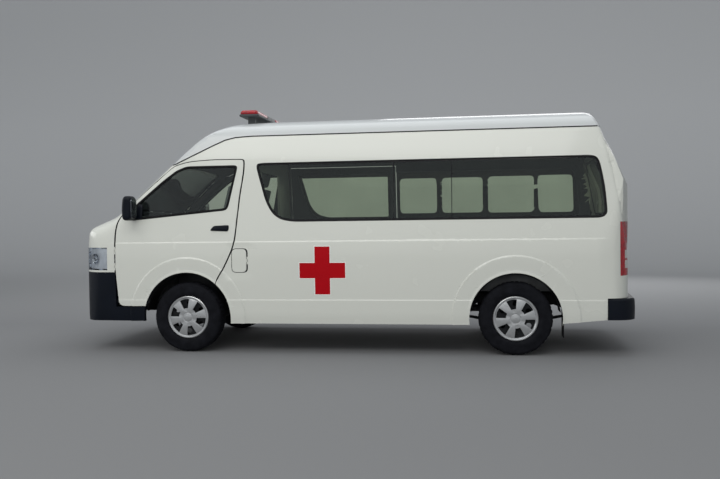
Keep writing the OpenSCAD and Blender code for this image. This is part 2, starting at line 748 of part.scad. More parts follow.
// Front and rear wheel places: [x, side]
module at_wheel(x, s) { translate([x, s * wheel_y, axle_z]) rotate([s > 0 ? -90 : 90, 0, 0]) children(); }
module tyre(x, s) {
    w = tyre_w / 2;
    shoulder = 26;
    color("#1c1d1e") at_wheel(x, s) rotate_extrude($fn = 96) polygon([
        [rim_r + seat, -w + 22], [rim_r + 26, -w + 4], [rim_r + 70, -w], [tyre_r - 50, -w + 4],
        [tyre_r - 12, -w + shoulder], [tyre_r, -w + shoulder + 22], [tyre_r, w - shoulder - 22],
        [tyre_r - 12, w - shoulder], [tyre_r - 50, w - 4], [rim_r + 70, w], [rim_r + 26, w - 4],
        [rim_r + seat, w - 22]]);
}
module rim(x, s) {
    w = tyre_w / 2 - 24;
    face = 24;
    color("#aeb3b6") at_wheel(x, s) difference() {
        union() {
            rotate_extrude($fn = 96) polygon([[rim_r - 12, -w], [rim_r, -w], [rim_r, w], [rim_r - 12, w]]);
            rotate_extrude($fn = 96) polygon([[0, face], [rim_r - 6, face + 12], [rim_r - 6, face + 26],
                [0, face + 14]]);
            translate([0, 0, -8]) cylinder(r = 58, h = face + 30);
            translate([0, 0, face + 20]) cylinder(r = 52, h = 20);
        }
        translate([0, 0, -20]) cylinder(r = stub_r + 0.5, h = 20 + 26);
        for (a = [0:60:300])
            rotate([0, 0, a])
                translate([bolt_circle_r, 0, -30])
                    cylinder(r = bolt_hole_r, h = 90);
        for (a = [30:60:330]) rotate([0, 0, a]) translate([135, 0, 0]) cylinder(r = 26, h = 80);
    }
}
module tyre_front_left() { tyre(axle_f, -1); }
module tyre_front_right() { tyre(axle_f, 1); }
module tyre_rear_left() { tyre(axle_r, -1); }
module tyre_rear_right() { tyre(axle_r, 1); }
module rim_front_left() { rim(axle_f, -1); }
module rim_front_right() { rim(axle_f, 1); }
module rim_rear_left() { rim(axle_r, -1); }
module rim_rear_right() { rim(axle_r, 1); }

floor_pan();
body_side_left();
body_side_right();
roof();
front_cowl();
windscreen();
side_glass();
sliding_door();
front_bumper();
rear_bumper();
grille();
headlamps();
tail_lamps();
chassis_frame();
front_suspension();
rear_axle();
leaf_springs();
engine_block();
propeller_shaft();
fuel_tank();
exhaust();
mudflaps();
light_bar();
dashboard();
front_seats();
partition();
side_bench();
steering_wheel();
front_door_left();
front_door_right();
door_glass_left();
door_glass_right();
tailgate();
tailgate_glass();
bonnet();
fuel_flap();
knuckle_left();
knuckle_right();
tyre_front_left();
tyre_front_right();
tyre_rear_left();
tyre_rear_right();
rim_front_left();
rim_front_right();
rim_rear_left();
rim_rear_right();
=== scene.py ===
import bmesh, bpy, math
import numpy as np
from mathutils import Vector, Matrix


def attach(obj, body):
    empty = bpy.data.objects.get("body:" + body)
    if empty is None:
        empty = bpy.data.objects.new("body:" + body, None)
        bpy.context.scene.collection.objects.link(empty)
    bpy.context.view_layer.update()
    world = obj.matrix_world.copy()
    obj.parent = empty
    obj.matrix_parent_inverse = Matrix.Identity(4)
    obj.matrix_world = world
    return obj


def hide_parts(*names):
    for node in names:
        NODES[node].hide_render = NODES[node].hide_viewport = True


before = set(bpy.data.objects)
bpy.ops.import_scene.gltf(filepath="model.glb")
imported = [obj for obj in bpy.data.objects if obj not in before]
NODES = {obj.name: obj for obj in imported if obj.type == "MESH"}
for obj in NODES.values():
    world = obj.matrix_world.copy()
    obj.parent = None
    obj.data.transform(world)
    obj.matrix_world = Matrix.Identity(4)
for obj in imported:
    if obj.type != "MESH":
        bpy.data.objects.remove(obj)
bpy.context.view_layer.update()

MM = 0.001
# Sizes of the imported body, in millimetres; +X is the rear, +Y the right
XF, XR, HALF, TOP = -2690.0, 2690.0, 940.0, 2285.0
AF, AR, WHEEL_Y, TYRE_R = -1540.0, 1570.0, 827.0, 336.0
SILL, GUTTER, PILLAR = 280.0, 2078.0, XF + 1014
ARCH_F, ARCH_R = 434.0, 418.0
# Wheel arches: middle, radius, and how far the pressed flare stands round them
FLARES = ((AF, ARCH_F, 150.0), (AR, ARCH_R, 165.0))
BELT_Z, SILL_LINE_Z = 1059.0, 506.0
FLAP_X, FLAP_Z = AF + 530, 880.0
SIDES = ((-1, "left"), (1, "right"))

# ---------------------------------------------------------------- body form
SCREEN_BASE, SCREEN_TOP = (XF + 365, 1372.0), (XF + 955, 1884.0)
BROW = (XF + 205, 1308.0)
SCREEN_A = math.atan2(SCREEN_TOP[1] - SCREEN_BASE[1], SCREEN_TOP[0] - SCREEN_BASE[0])
HOOD_A = math.atan2(SCREEN_BASE[1] - BROW[1], SCREEN_BASE[0] - BROW[0])
GATE_FOOT, GATE_HEAD = (XR - 162, 1723.0), (XR - 325, 2090.0)
GATE_A = math.atan2(GATE_HEAD[1] - GATE_FOOT[1], GATE_HEAD[0] - GATE_FOOT[0])
SIDE = [(XF + 75, SILL), (XF + 20, 360), (XF, 560), (XF + 8, 775), (XF + 62, 1018), (XF + 92, 1130),
        (XF + 135, 1235), BROW, SCREEN_BASE, SCREEN_TOP,
        (SCREEN_TOP[0] + 115, SCREEN_TOP[1] + 115 * math.tan(SCREEN_A)), (XF + 1270, TOP - 198),
        (XF + 1480, TOP - 95), (XF + 1640, TOP - 38), (XF + 1830, TOP - 8), (XF + 2050, TOP),
        (XR - 470, TOP), (XR - 395, TOP - 22), (XR - 345, TOP - 90), GATE_HEAD, GATE_FOOT,
        (XR - 114, 1544), (XR - 86, 1379), (XR - 68, 1203), (XR - 60, 997), (XR - 60, SILL)]
SECTION = [(36, SILL), (22, 360), (6, 620), (0, 1000), (25, 1257), (98, 1812), (165, GUTTER),
           (215, TOP - 120), (320, TOP - 72), (470, TOP - 42), (680, TOP - 13)]

def crown(w, bow, r, steps=4):
    a = [(-(w - r) - r * math.sin(t), bow * ((w - r) / w) ** 2 + r * (1 - math.cos(t)))
         for t in [math.radians(90 - 90 * i / steps) for i in range(steps + 1)]]
    m = [(y, bow * (y / w) ** 2) for y in [(w - r) * (0.4 * i - 1) for i in range(1, 5)]]
    b = [(w - r + r * math.sin(t), bow * ((w - r) / w) ** 2 + r * (1 - math.cos(t)))
         for t in [math.radians(90 * i / steps) for i in range(steps + 1)]]
    return a + m + b

def edges_of(points, cap=220.0):
    """Lines of an open outline and the rounding at each corner between them."""
    p = np.array(points, float)
    d = p[1:] - p[:-1]
    ln = np.linalg.norm(d, axis=1)
    d = d / ln[:, None]
    ks = []
    for i in range(len(d) - 1):
        s = abs(d[i][0] * d[i + 1][1] - d[i][1] * d[i + 1][0])
        ks.append(max(0.01, min(ln[i] / 2, ln[i + 1] / 2, cap) * s))
    return p[:-1], d, ks

def ring_value(points, a, b, outward, cap=220.0, groups=()):
    """(exact, smooth) distance outside an outline; outward is +1 where the normal is right of the way."""
    p, d, ks = edges_of(points, cap)
    e = [((a - q[0]) * t[1] - (b - q[1]) * t[0]) * outward for q, t in zip(p, d)]
    joined = []
    i = 0
    while i < len(e):
        if groups and i == groups[0]:
            n = len(groups)
            ex = e[i]
            for j in groups[1:]:
                ex = np.minimum(ex, e[j])
            joined.append((ex, -smax(-e[groups[0]], -e[groups[1]], 26.0), ks[groups[-1]]
                          if groups[-1] < len(ks) else 1))
            i += n
        else:
            joined.append((e[i], e[i], ks[i] if i < len(ks) else 1))
            i += 1
    hard = joined[0][0]
    soft = joined[0][1]
    for j in range(1, len(joined)):
        hard = np.maximum(hard, joined[j][0])
        soft = smax(soft, joined[j][1], joined[j - 1][2])
    return hard, soft

def smax(a, b, k):
    h = np.clip(k - np.abs(a - b), 0, None) / k
    return np.maximum(a, b) + h * h * k / 4

def step(a, b, x):
    t = np.clip((x - a) / (b - a), 0, 1)
    return t * t * (3 - 2 * t)

NOSE = [(XF + q[1], q[0]) for q in crown(HALF + 1, 60, 300)]
TAIL = [(XR - 60 - q[1], -q[0]) for q in crown(HALF + 1, 70, 230)]
def bound(p, a, plan, x, y, z):
    n = -(x - p[0]) * math.sin(a) + (z - p[1]) * math.cos(a)
    o = [(q[0], -q[1]) for q in crown(HALF + 1, plan[1], plan[0])]
    return ring_value(o, y, n, -1)

def pressed(x, y, z):
    """How far the pressed lines of the sides stand out of the plain form."""
    out = np.zeros_like(x)
    side = step(600, 760, np.abs(y)) * step(-2350, -2200, x) * (1 - step(2300, 2420, x))
    out += side * (1 - step(1052, 1066, z)) * step(540, 900, z) * 5.0
    out += side * (1 - step(500, 512, z)) * 4.0
    for cx, r0, w in FLARES:
        r = np.hypot(x - cx, z - TYRE_R)
        out += side * 9.0 * (1 - step(r0 + w - 16, r0 + w, r)) * (0.25 + 0.75 * step(r0 - 20, r0 + w, r))
        out += side * 5.0 * (1 - step(r0 + 6, r0 + 26, r))
    # level ground round the fuel flap, so that it swings clear
    flap = (1 - step(92, 170, np.abs(x - FLAP_X))) * (1 - step(125, 200, np.abs(z - FLAP_Z))) * (y < 0)
    return out * (1 - flap)

def form(P):
    """(exact form of the CAD, smooth form of the pressings) at points in millimetres."""
    x, y, z = P[:, 0], P[:, 1], P[:, 2]
    ph, ps = ring_value(SIDE, x, z, -1, groups=(7, 8, 9))
    ring = [(HALF - q[0], q[1]) for q in SECTION]
    ring = ring + [(-q[0], q[1]) for q in reversed(ring)]
    sh, ss = ring_value(ring, y, z, 1)
    nh, ns = ring_value(NOSE, x, y, -1)
    th, ts = ring_value(TAIL, x, y, -1)
    bh, bs = bound(SCREEN_TOP, SCREEN_A, (190, 90), x, y, z)
    hh, hs = bound(SCREEN_BASE, HOOD_A, (205, 88), x, y, z)
    gh, gs = bound(GATE_FOOT, GATE_A - math.pi, (150, 45), x, y, z)
    hard = np.maximum.reduce([ph, sh, nh, th, np.minimum(bh, hh), gh])
    nose = smax(ns, ts, 5.0)
    soft = smax(ss, nose, 18.0)
    soft = smax(soft, ps, 34.0)
    soft = smax(soft, -smax(-bs, -hs, 26.0), 30.0)
    soft = smax(soft, gs, 30.0)
    return hard, soft - pressed(x, y, z)

def slope(P, h=0.5):
    g = np.empty_like(P)
    for i in range(3):
        d = np.zeros(3); d[i] = h
        g[:, i] = form(P + d)[1] - form(P - d)[1]
    n = np.linalg.norm(g, axis=1)
    return g / np.maximum(n, 1e-9)[:, None], n / (2 * h)

def settle(P):
    """Moves points from the faceted form to the smooth one, each staying on its own level."""
    hard = form(P)[0]
    n, g = slope(P)
    Q = P.copy()
    for _ in range(4):
        now = form(Q)[1]
        Q = Q - n * np.clip((now - hard) / np.maximum(g, 0.4), -60, 60)[:, None]
    return Q, hard

def side_point(x, z, s, level=0.0):
    """Points of the smooth skin of side s over (x, z)."""
    x = np.asarray(x, float); z = np.asarray(z, float)
    lo, hi = np.full(x.shape, 300.0), np.full(x.shape, 1010.0)
    for _ in range(34):
        mid = (lo + hi) / 2
        v = form(np.c_[x, s * mid, z])[1] > level
        hi = np.where(v, mid, hi); lo = np.where(v, lo, mid)
    return np.c_[x, s * (lo + hi) / 2, z]

def cast(O, D, level=0.0, far=3000.0):
    """Where rays from inside leave the smooth form."""
    O = np.asarray(O, float); D = np.asarray(D, float)
    D = D / np.linalg.norm(D, axis=1)[:, None]
    lo, hi = np.zeros(len(O)), np.full(len(O), far)
    for _ in range(36):
        mid = (lo + hi) / 2
        v = form(O + D * mid[:, None])[1] > level
        hi = np.where(v, mid, hi); lo = np.where(v, lo, mid)
    return O + D * ((lo + hi) / 2)[:, None]

# ---------------------------------------------------------------- meshes
def make(name, V, F, mats, body, normals, face_mats):
    """A smooth mesh that carries its own normals."""
    me = bpy.data.meshes.new(name)
    me.from_pydata((np.asarray(V) * MM).tolist(), [], [list(map(int, f)) for f in F])
    for m in mats:
        me.materials.append(m)
    me.polygons.foreach_set("material_index", np.asarray(face_mats, np.int32))
    me.polygons.foreach_set("use_smooth", np.full(len(me.polygons), True))
    me.update()
    ob = bpy.data.objects.new(name, me)
    bpy.context.scene.collection.objects.link(ob)
    me.normals_split_custom_set(normals.tolist())
    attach(ob, body)
    return ob

def run_faces(m, n, closed=False):
    """Faces of a closed section of m points run along n stations, with both ends unless the run closes."""
    F = [[j * n + i, j * n + (i + 1) % n, (j + 1) % m * n + (i + 1) % n, (j + 1) % m * n + i]
         for j in range(m) for i in range(n if closed else n - 1)]
    if not closed:
        F += [[j * n for j in range(m)][::-1], [j * n + n - 1 for j in range(m)]]
    return F

def ring_faces(m, n):
    """Faces of m stacked rings of n points, capped at both ends."""
    F = [[j * n + i, j * n + (i + 1) % n, (j + 1) * n + (i + 1) % n, (j + 1) * n + i]
         for j in range(m - 1) for i in range(n)]
    return F + [list(range(n))[::-1], list(range((m - 1) * n, m * n))]

def shell_faces(F, nv):
    """The faces of a sheet, the same ones nv points further on, and the rim between them."""
    ed = dict.fromkeys((a, b) for f in F for a, b in zip(f, f[1:] + f[:1]))
    rim = [(a, b) for a, b in ed if (b, a) not in ed]
    return F + [[nv + q for q in f][::-1] for f in F] + [[b, a, nv + a, nv + b] for a, b in rim]

def stacked(ring, levels, place):
    """A ring drawn on a surface at several sizes and heights; levels is [(size, height)]."""
    c = ring.mean(axis=0); V = []
    for k, h in levels:
        b, u = place(c + (ring - c) * k)
        V += list(b + u * h)
    return V, ring_faces(len(levels), len(ring))

def refine(V, T, size, least=13.0, rounds=40):
    """Splits the longest edges of triangles until none is longer than size asks."""
    for _ in range(rounds):
        A, B = V[T], V[np.roll(T, -1, axis=1)]
        ln = np.linalg.norm(A - B, axis=2)
        long = ln > least
        lim = np.full(ln.shape, np.inf)
        lim[long] = size((A[long] + B[long]) / 2)
        over = (ln > lim) & (ln >= ln.max(axis=1)[:, None] - 1e-6)
        if not over.any():
            break
        key = np.sort(np.stack([T, np.roll(T, -1, axis=1)], axis=2), axis=2).reshape(-1, 2)
        uniq, inv = np.unique(key, axis=0, return_inverse=True)
        inv = inv.reshape(T.shape)
        mark = np.zeros(len(uniq), bool)
        mark[inv[over]] = True
        new = np.full(len(uniq), -1)
        new[mark] = len(V) + np.arange(mark.sum())
        V = np.vstack([V, (V[uniq[mark, 0]] + V[uniq[mark, 1]]) / 2])
        m = new[inv]
        cnt = (m >= 0).sum(axis=1)
        out = [T[cnt == 0]]
        for i in range(3):
            s = (cnt == 1) & (m[:, i] >= 0)
            a, b, c, n = T[s, i], T[s, (i + 1) % 3], T[s, (i + 2) % 3], m[s, i]
            out += [np.c_[a, n, c], np.c_[n, b, c]]
            s = (cnt == 2) & (m[:, i] < 0)
            a, b, c = T[s, i], T[s, (i + 1) % 3], T[s, (i + 2) % 3]
            p, q = m[s, (i + 1) % 3], m[s, (i + 2) % 3]
            out += [np.c_[a, b, p], np.c_[a, p, q], np.c_[q, p, c]]
        s = cnt == 3
        a, b, c, p, q, r = T[s, 0], T[s, 1], T[s, 2], m[s, 0], m[s, 1], m[s, 2]
        out += [np.c_[a, p, r], np.c_[p, b, q], np.c_[r, q, c], np.c_[p, q, r]]
        T = np.vstack(out)
    return V, T

def node_mesh(node):
    me = NODES[node].data
    V = np.empty(len(me.vertices) * 3); me.vertices.foreach_get("co", V)
    V = V.reshape(-1, 3) / MM
    me.calc_loop_triangles()
    T = np.empty(len(me.loop_triangles) * 3, np.int32); me.loop_triangles.foreach_get("vertices", T)
    T = T.reshape(-1, 3)
    # weld
    key = np.round(V * 50).astype(np.int64)
    _, first, inv = np.unique(key, axis=0, return_index=True, return_inverse=True)
    inv = inv.reshape(-1)
    T = inv[T]; V = V[first]
    keep = (T[:, 0] != T[:, 1]) & (T[:, 1] != T[:, 2]) & (T[:, 2] != T[:, 0])
    return V, T[keep]

def panel_size(M):
    x, y, z = M[:, 0], M[:, 1], M[:, 2]
    s = np.full(len(M), 85.0)
    near = (x < XF + 420) | (x > XR - 420)
    outer = form(M)[0] > -12
    s = np.where(near & outer, 36.0, s)
    side = (np.abs(y) > 700) & outer
    def graded(s, d, fine, flat):
        return np.where(side, np.minimum(s, fine + np.maximum(0, d - flat)), s)
    s = graded(s, np.abs(z - BELT_Z), 16.0, 7.0)
    s = graded(s, np.abs(z - SILL_LINE_Z), 16.0, 6.0)
    for cx, r0, w in FLARES:
        r = np.hypot(x - cx, z - TYRE_R)
        s = np.where(side & (r < r0 + 34), 16.0, s)
        s = graded(s, np.abs(r - r0 - w + 8), 14.0, 8.0)
    s = np.where(side & (np.abs(x - FLAP_X) < 95) & (np.abs(z - FLAP_Z) < 135), 14.0, s)
    return s

def skin(node, mats, body="root", size=panel_size, name=None, drop=None):
    """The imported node's own shape, refined and drawn onto the smooth form."""
    V, T = node_mesh(node)
    V, T = refine(V, T, size)
    if drop is not None:
        gone, point = drop(V)
        V = V.copy(); V[gone] = point
        first = np.argmax(gone)
        idx = np.arange(len(V)); idx[gone] = first
        T = idx[T]
        T = T[(T[:, 0] != T[:, 1]) & (T[:, 1] != T[:, 2]) & (T[:, 2] != T[:, 0])]
        used = np.unique(T); back = np.full(len(V), -1); back[used] = np.arange(len(used))
        V = V[used]; T = back[T]
    Q, level = settle(V)
    n, _ = slope(Q)
    A, B, C = Q[T[:, 0]], Q[T[:, 1]], Q[T[:, 2]]
    fn = np.cross(B - A, C - A)
    fn /= np.maximum(np.linalg.norm(fn, axis=1), 1e-9)[:, None]
    dot = np.einsum("ijk,ik->ij", n[T], fn)
    sheet = np.abs(dot).min(axis=1) > 0.72
    N = np.where(sheet[:, None, None], n[T] * np.sign(dot)[:, :, None], fn[:, None, :])
    lv = level[T].mean(axis=1)
    fm = np.zeros(len(T), int)
    if len(mats) > 1:
        fm = np.where(lv < -12, 1, 0)
    ob = make(name or node + "_skin", Q, T, mats, body, normals=N.reshape(-1, 3), face_mats=fm)
    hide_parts(node)
    return ob, Q, T, level

# ---------------------------------------------------------------- materials
def mat(name, base, rough=0.4, metal=0.0, var=0.05, var_scale=3.0, bump=0.15, bump_scale=250.0, coat=0.0,
        rough_var=0.06, bump_dist=0.0006, second=None, emit=None, spec=0.5, wave=None):
    m = bpy.data.materials.new(name)
    m.use_nodes = True
    nt = m.node_tree
    b = nt.nodes["Principled BSDF"]
    tc = nt.nodes.new("ShaderNodeTexCoord")
    n1 = nt.nodes.new("ShaderNodeTexNoise"); n1.inputs["Scale"].default_value = var_scale
    n1.inputs["Detail"].default_value = 6
    nt.links.new(tc.outputs["Object"], n1.inputs["Vector"])
    cr = nt.nodes.new("ShaderNodeValToRGB")
    lo = [max(0, c * (1 - var)) for c in base]; hi = [min(1, c * (1 + var)) for c in (second or base)]
    cr.color_ramp.elements[0].position = 0.3; cr.color_ramp.elements[1].position = 0.72
    cr.color_ramp.elements[0].color = (*lo, 1); cr.color_ramp.elements[1].color = (*hi, 1)
    nt.links.new(n1.outputs["Fac"], cr.inputs["Fac"])
    nt.links.new(cr.outputs["Color"], b.inputs["Base Color"])
    mr = nt.nodes.new("ShaderNodeMapRange")
    mr.inputs["To Min"].default_value = max(0.02, rough - rough_var)
    mr.inputs["To Max"].default_value = min(1, rough + rough_var)
    n3 = nt.nodes.new("ShaderNodeTexNoise"); n3.inputs["Scale"].default_value = var_scale * 5
    nt.links.new(tc.outputs["Object"], n3.inputs["Vector"])
    nt.links.new(n3.outputs["Fac"], mr.inputs["Value"])
    nt.links.new(mr.outputs["Result"], b.inputs["Roughness"])
    if bump:
        if wave:
            n2 = nt.nodes.new("ShaderNodeTexWave"); n2.wave_type = "BANDS"; n2.bands_direction = wave
            n2.inputs["Distortion"].default_value = 0.6
        else:
            n2 = nt.nodes.new("ShaderNodeTexNoise"); n2.inputs["Detail"].default_value = 3
        n2.inputs["Scale"].default_value = bump_scale
        nt.links.new(tc.outputs["Object"], n2.inputs["Vector"])
        bp = nt.nodes.new("ShaderNodeBump"); bp.inputs["Strength"].default_value = bump
        bp.inputs["Distance"].default_value = bump_dist
        nt.links.new(n2.outputs["Fac"], bp.inputs["Height"])
        nt.links.new(bp.outputs["Normal"], b.inputs["Normal"])
    b.inputs["Metallic"].default_value = metal
    b.inputs["Specular IOR Level"].default_value = spec
    b.inputs["Coat Weight"].default_value = coat
    b.inputs["Coat Roughness"].default_value = 0.06
    if emit:
        b.inputs["Emission Color"].default_value = (*emit, 1)
        b.inputs["Emission Strength"].default_value = 0.15
    return m

def glass(name, tint, gloss=0.06, rough=0.03):
    m = bpy.data.materials.new(name)
    m.use_nodes = True
    nt = m.node_tree
    out = nt.nodes["Material Output"]
    nt.nodes.remove(nt.nodes["Principled BSDF"])
    tc = nt.nodes.new("ShaderNodeTexCoord")
    ns = nt.nodes.new("ShaderNodeTexNoise"); ns.inputs["Scale"].default_value = 1.7
    nt.links.new(tc.outputs["Object"], ns.inputs["Vector"])
    cr = nt.nodes.new("ShaderNodeValToRGB")
    cr.color_ramp.elements[0].color = (*[c * 0.94 for c in tint], 1)
    cr.color_ramp.elements[1].color = (*[min(1, c * 1.05) for c in tint], 1)
    nt.links.new(ns.outputs["Fac"], cr.inputs["Fac"])
    tr = nt.nodes.new("ShaderNodeBsdfTransparent")
    nt.links.new(cr.outputs["Color"], tr.inputs["Color"])
    gl = nt.nodes.new("ShaderNodeBsdfGlossy"); gl.inputs["Roughness"].default_value = rough
    gl.inputs["Color"].default_value = (0.92, 0.95, 1, 1)
    fr = nt.nodes.new("ShaderNodeFresnel"); fr.inputs["IOR"].default_value = 1.5
    mm = nt.nodes.new("ShaderNodeMath"); mm.operation = "ADD"; mm.use_clamp = True
    mm.inputs[1].default_value = gloss
    nt.links.new(fr.outputs["Fac"], mm.inputs[0])
    mx = nt.nodes.new("ShaderNodeMixShader")
    nt.links.new(mm.outputs["Value"], mx.inputs["Fac"])
    nt.links.new(tr.outputs["BSDF"], mx.inputs[1]); nt.links.new(gl.outputs["BSDF"], mx.inputs[2])
    nt.links.new(mx.outputs["Shader"], out.inputs["Surface"])
    return m

WHITE = mat("paint_white", (0.70, 0.715, 0.665), 0.27, var=0.008, var_scale=0.8, rough_var=0.012, bump=0.05,
            bump_scale=380, coat=0.5)
# Painted shade: the roof's white is a darker, bluer copy of the body white, toning down the top light on the
# upward-facing roof
ROOF_WHITE_SHADED = mat("paint_roof_shaded", (0.60, 0.625, 0.63), 0.32, var=0.01, var_scale=0.9, rough_var=0.015, bump=0.08,
            bump_scale=300, coat=0.4)
INNER = mat("lining_grey", (0.030, 0.034, 0.042), 0.75, spec=0.2, var=0.1, var_scale=6, bump=0.4,
            bump_scale=500)
BLACK = mat("plastic_black", (0.003, 0.005, 0.010), 0.45, spec=0.22, var=0.15, var_scale=4, bump=0.35,
            bump_scale=900)
SEAL = mat("seal_rubber", (0.005, 0.005, 0.006), 0.6, spec=0.2, var=0.2, bump=0.3, bump_scale=700)
RED = mat("film_red", (0.44, 0.0015, 0.007), 0.45, spec=0.15, var=0.05, var_scale=8, bump=0.06,
          bump_scale=500)
EDGE = mat("film_white", (0.86, 0.87, 0.85), 0.4, var=0.02, bump=0.05, bump_scale=400)
STEEL = mat("chassis_paint", (0.012, 0.013, 0.014), 0.6, spec=0.2, var=0.3, var_scale=9, bump=0.5,
            bump_scale=160)
CASTM = mat("cast_iron", (0.05, 0.052, 0.055), 0.55, metal=0.6, var=0.3, var_scale=12, bump=0.6,
            bump_scale=220)
EXH = mat("exhaust_steel", (0.42, 0.40, 0.38), 0.4, metal=0.9, var=0.3, var_scale=10, bump=0.4,
          bump_scale=200)
RUBBER = mat("tyre_rubber", (0.0045, 0.005, 0.0075), 0.8, spec=0.18, var=0.3, var_scale=14, bump=0.6,
             bump_scale=420, second=(0.0075, 0.008, 0.011))
SILVER = mat("wheel_silver", (0.60, 0.61, 0.62), 0.3, metal=0.75, var=0.05, var_scale=20, bump=0.1,
             bump_scale=600, coat=0.3)
DARKM = mat("steel_dark", (0.012, 0.013, 0.015), 0.55, metal=0.4, var=0.2, var_scale=15, bump=0.3)
CABIN = mat("cabin_plastic", (0.09, 0.095, 0.10), 0.6, var=0.12, var_scale=8, bump=0.5, bump_scale=700)
FABRIC = mat("seat_fabric", (0.12, 0.13, 0.15), 0.85, var=0.25, var_scale=60, bump=0.8, bump_scale=900,
             spec=0.2)
VINYL = mat("bench_vinyl", (0.05, 0.11, 0.15), 0.45, var=0.1, var_scale=10, bump=0.4, bump_scale=350)
TRIM = mat("partition_panel", (0.50, 0.52, 0.50), 0.5, var=0.05, var_scale=5, bump=0.2)
FLOORM = mat("floor_mat", (0.10, 0.105, 0.11), 0.7, var=0.2, var_scale=12, bump=0.7, bump_scale=300)
LENS_R = mat("lens_red", (0.42, 0.006, 0.016), 0.18, var=0.3, var_scale=25, bump=0.6, bump_scale=260,
             bump_dist=0.001, coat=0.6, wave="Z")
LENS_W = mat("lens_clear_block", (0.62, 0.62, 0.60), 0.2, var=0.1, var_scale=25, bump=0.5, bump_scale=240,
             bump_dist=0.001, coat=0.5, wave="Y")
MIRROR = mat("mirror_glass", (0.16, 0.17, 0.19), 0.08, metal=0.9, var=0.03, bump=0.05, bump_scale=90)
# Painted reflection: the headlamp bowl is a pale bluish white that stands in for the shine of its chrome
# reflector
BOWL_PAINTED_REFLECTION = mat("lamp_bowl", (0.84, 0.87, 0.92), 0.3, metal=0.1, var=0.08, var_scale=12, bump=0.5, bump_scale=60,
           wave="Z")
CHROME = mat("reflector", (0.75, 0.77, 0.8), 0.16, metal=1.0, var=0.05, bump=0.1, bump_scale=120)
GREYP = mat("bar_grey", (0.075, 0.08, 0.085), 0.5, spec=0.25, var=0.08, var_scale=10, bump=0.3,
            bump_scale=500)
TINT = glass("glass_tinted", (0.87, 0.91, 0.83), 0.0)
CLEAR = glass("glass_clear", (0.92, 0.95, 0.89), 0.0)
LAMPG = glass("glass_lamp", (0.93, 0.95, 0.97), 0.05)

DOOR = {-1: "front_door_left", 1: "front_door_right"}

# ---------------------------------------------------------------- body skins
PAINTED = [WHITE, INNER]
def mirror_off(V):
    """The door's mirror is drawn in below; its solid is drawn in to one point on the skin."""
    s = np.sign(V[:, 1].mean())
    return np.abs(V[:, 1]) > HALF + 4, np.array([AF - 600, s * (HALF - 8), 1317.0])

for node in ("body_side_left", "body_side_right", "front_cowl"):
    skin(node, PAINTED)
# The roof takes the darker, bluer copy of the white: painted shade
skin("roof", [ROOF_WHITE_SHADED, INNER])
skin("sliding_door", PAINTED)
for s, d in DOOR.items():
    skin(d, PAINTED, body=d, drop=mirror_off)
skin("tailgate", PAINTED, body="tailgate")
skin("bonnet", PAINTED, body="bonnet")
skin("fuel_flap", PAINTED, body="fuel_flap")
skin("front_bumper", [BLACK])
skin("grille", [BLACK])

# Smooth side outlines used by seals, borders and glass
def curve(points, r, steps=6):
    """A closed outline whose corners start their curve r away."""
    p = np.array(points, float); n = len(p); out = []
    for i in range(n):
        b = p[i]; u = p[i - 1] - b; v = p[(i + 1) % n] - b
        a = b + u * min(r / np.linalg.norm(u), 0.45); c = b + v * min(r / np.linalg.norm(v), 0.45)
        for k in range(steps + 1):
            t = k / steps
            out.append((1 - t) ** 2 * a + 2 * t * (1 - t) * b + t * t * c)
    return np.array(out)

def grown(p, d):
    p = np.asarray(p, float)
    a = np.roll(p, 1, axis=0); b = np.roll(p, -1, axis=0)
    area = np.sum(p[:, 0] * b[:, 1] - b[:, 0] * p[:, 1])
    s = 1 if area > 0 else -1
    u = p - a; u /= np.linalg.norm(u, axis=1)[:, None]; v = b - p; v /= np.linalg.norm(v, axis=1)[:, None]
    na = s * np.c_[u[:, 1], -u[:, 0]]; nb = s * np.c_[v[:, 1], -v[:, 0]]
    return p + d * (na + nb) / (1 + np.sum(na * nb, axis=1))[:, None]

def dense(p, step_mm=25.0, closed=True):
    p = np.asarray(p, float); out = []
    n = len(p)
    for i in range(n if closed else n - 1):
        a, b = p[i], p[(i + 1) % n]
        k = max(1, int(math.ceil(np.linalg.norm(b - a) / step_mm)))
        out += [a + (b - a) * j / k for j in range(k)]
    if not closed:
        out.append(p[-1])
    return np.array(out)

DOOR_GLASS = curve([(AF + a, b) for a, b in ((-574, 1284), (385, 1371), (406, 1394), (487, 1770), (478, 1786),
    (-10, 1786), (-112, 1746), (-239, 1652), (-518, 1418))], 40)
BF, BB, BZ = AF + 790, XR - 316, (1251.0, 1805.0)
BAND = curve([(BF - 100, BZ[1] - 26), (BF - 2, 1450), (BF + 62, 1333), (BF + 145, 1272), (BF + 267, BZ[0]),
    (BB - 39, BZ[0]), (BB - 2, 1285), (BB, 1328), (BB - 13, 1517), (BB - 44, 1707), (BB - 66, BZ[1] - 24),
    (BB - 110, BZ[1]), (BF - 85, BZ[1])], 60)
SLIDE_GLASS = curve([(AF + a, b) for a, b in ((720, 1750), (805, 1440), (860, 1350), (940, 1290),
                    (1060, 1262),
    (1800, 1262), (1800, 1790), (715, 1790))], 45)

def strip(name, path, section, place, material, body, closed=True):
    """A bead of the given section run along a path drawn on the skin; section is [(across, out)]."""
    p = dense(path, 22, closed)
    n = len(p)
    base, up = place(p)
    tan = np.roll(base, -1, axis=0) - np.roll(base, 1, axis=0)
    if not closed:
        tan[0] = base[1] - base[0]; tan[-1] = base[-1] - base[-2]
    tan /= np.linalg.norm(tan, axis=1)[:, None]
    across = np.cross(tan, up); across /= np.linalg.norm(across, axis=1)[:, None]
    V = np.concatenate([base + across * a + up * b for a, b in section])
    return solid(name, V, run_faces(len(section), n, closed), [material], body)

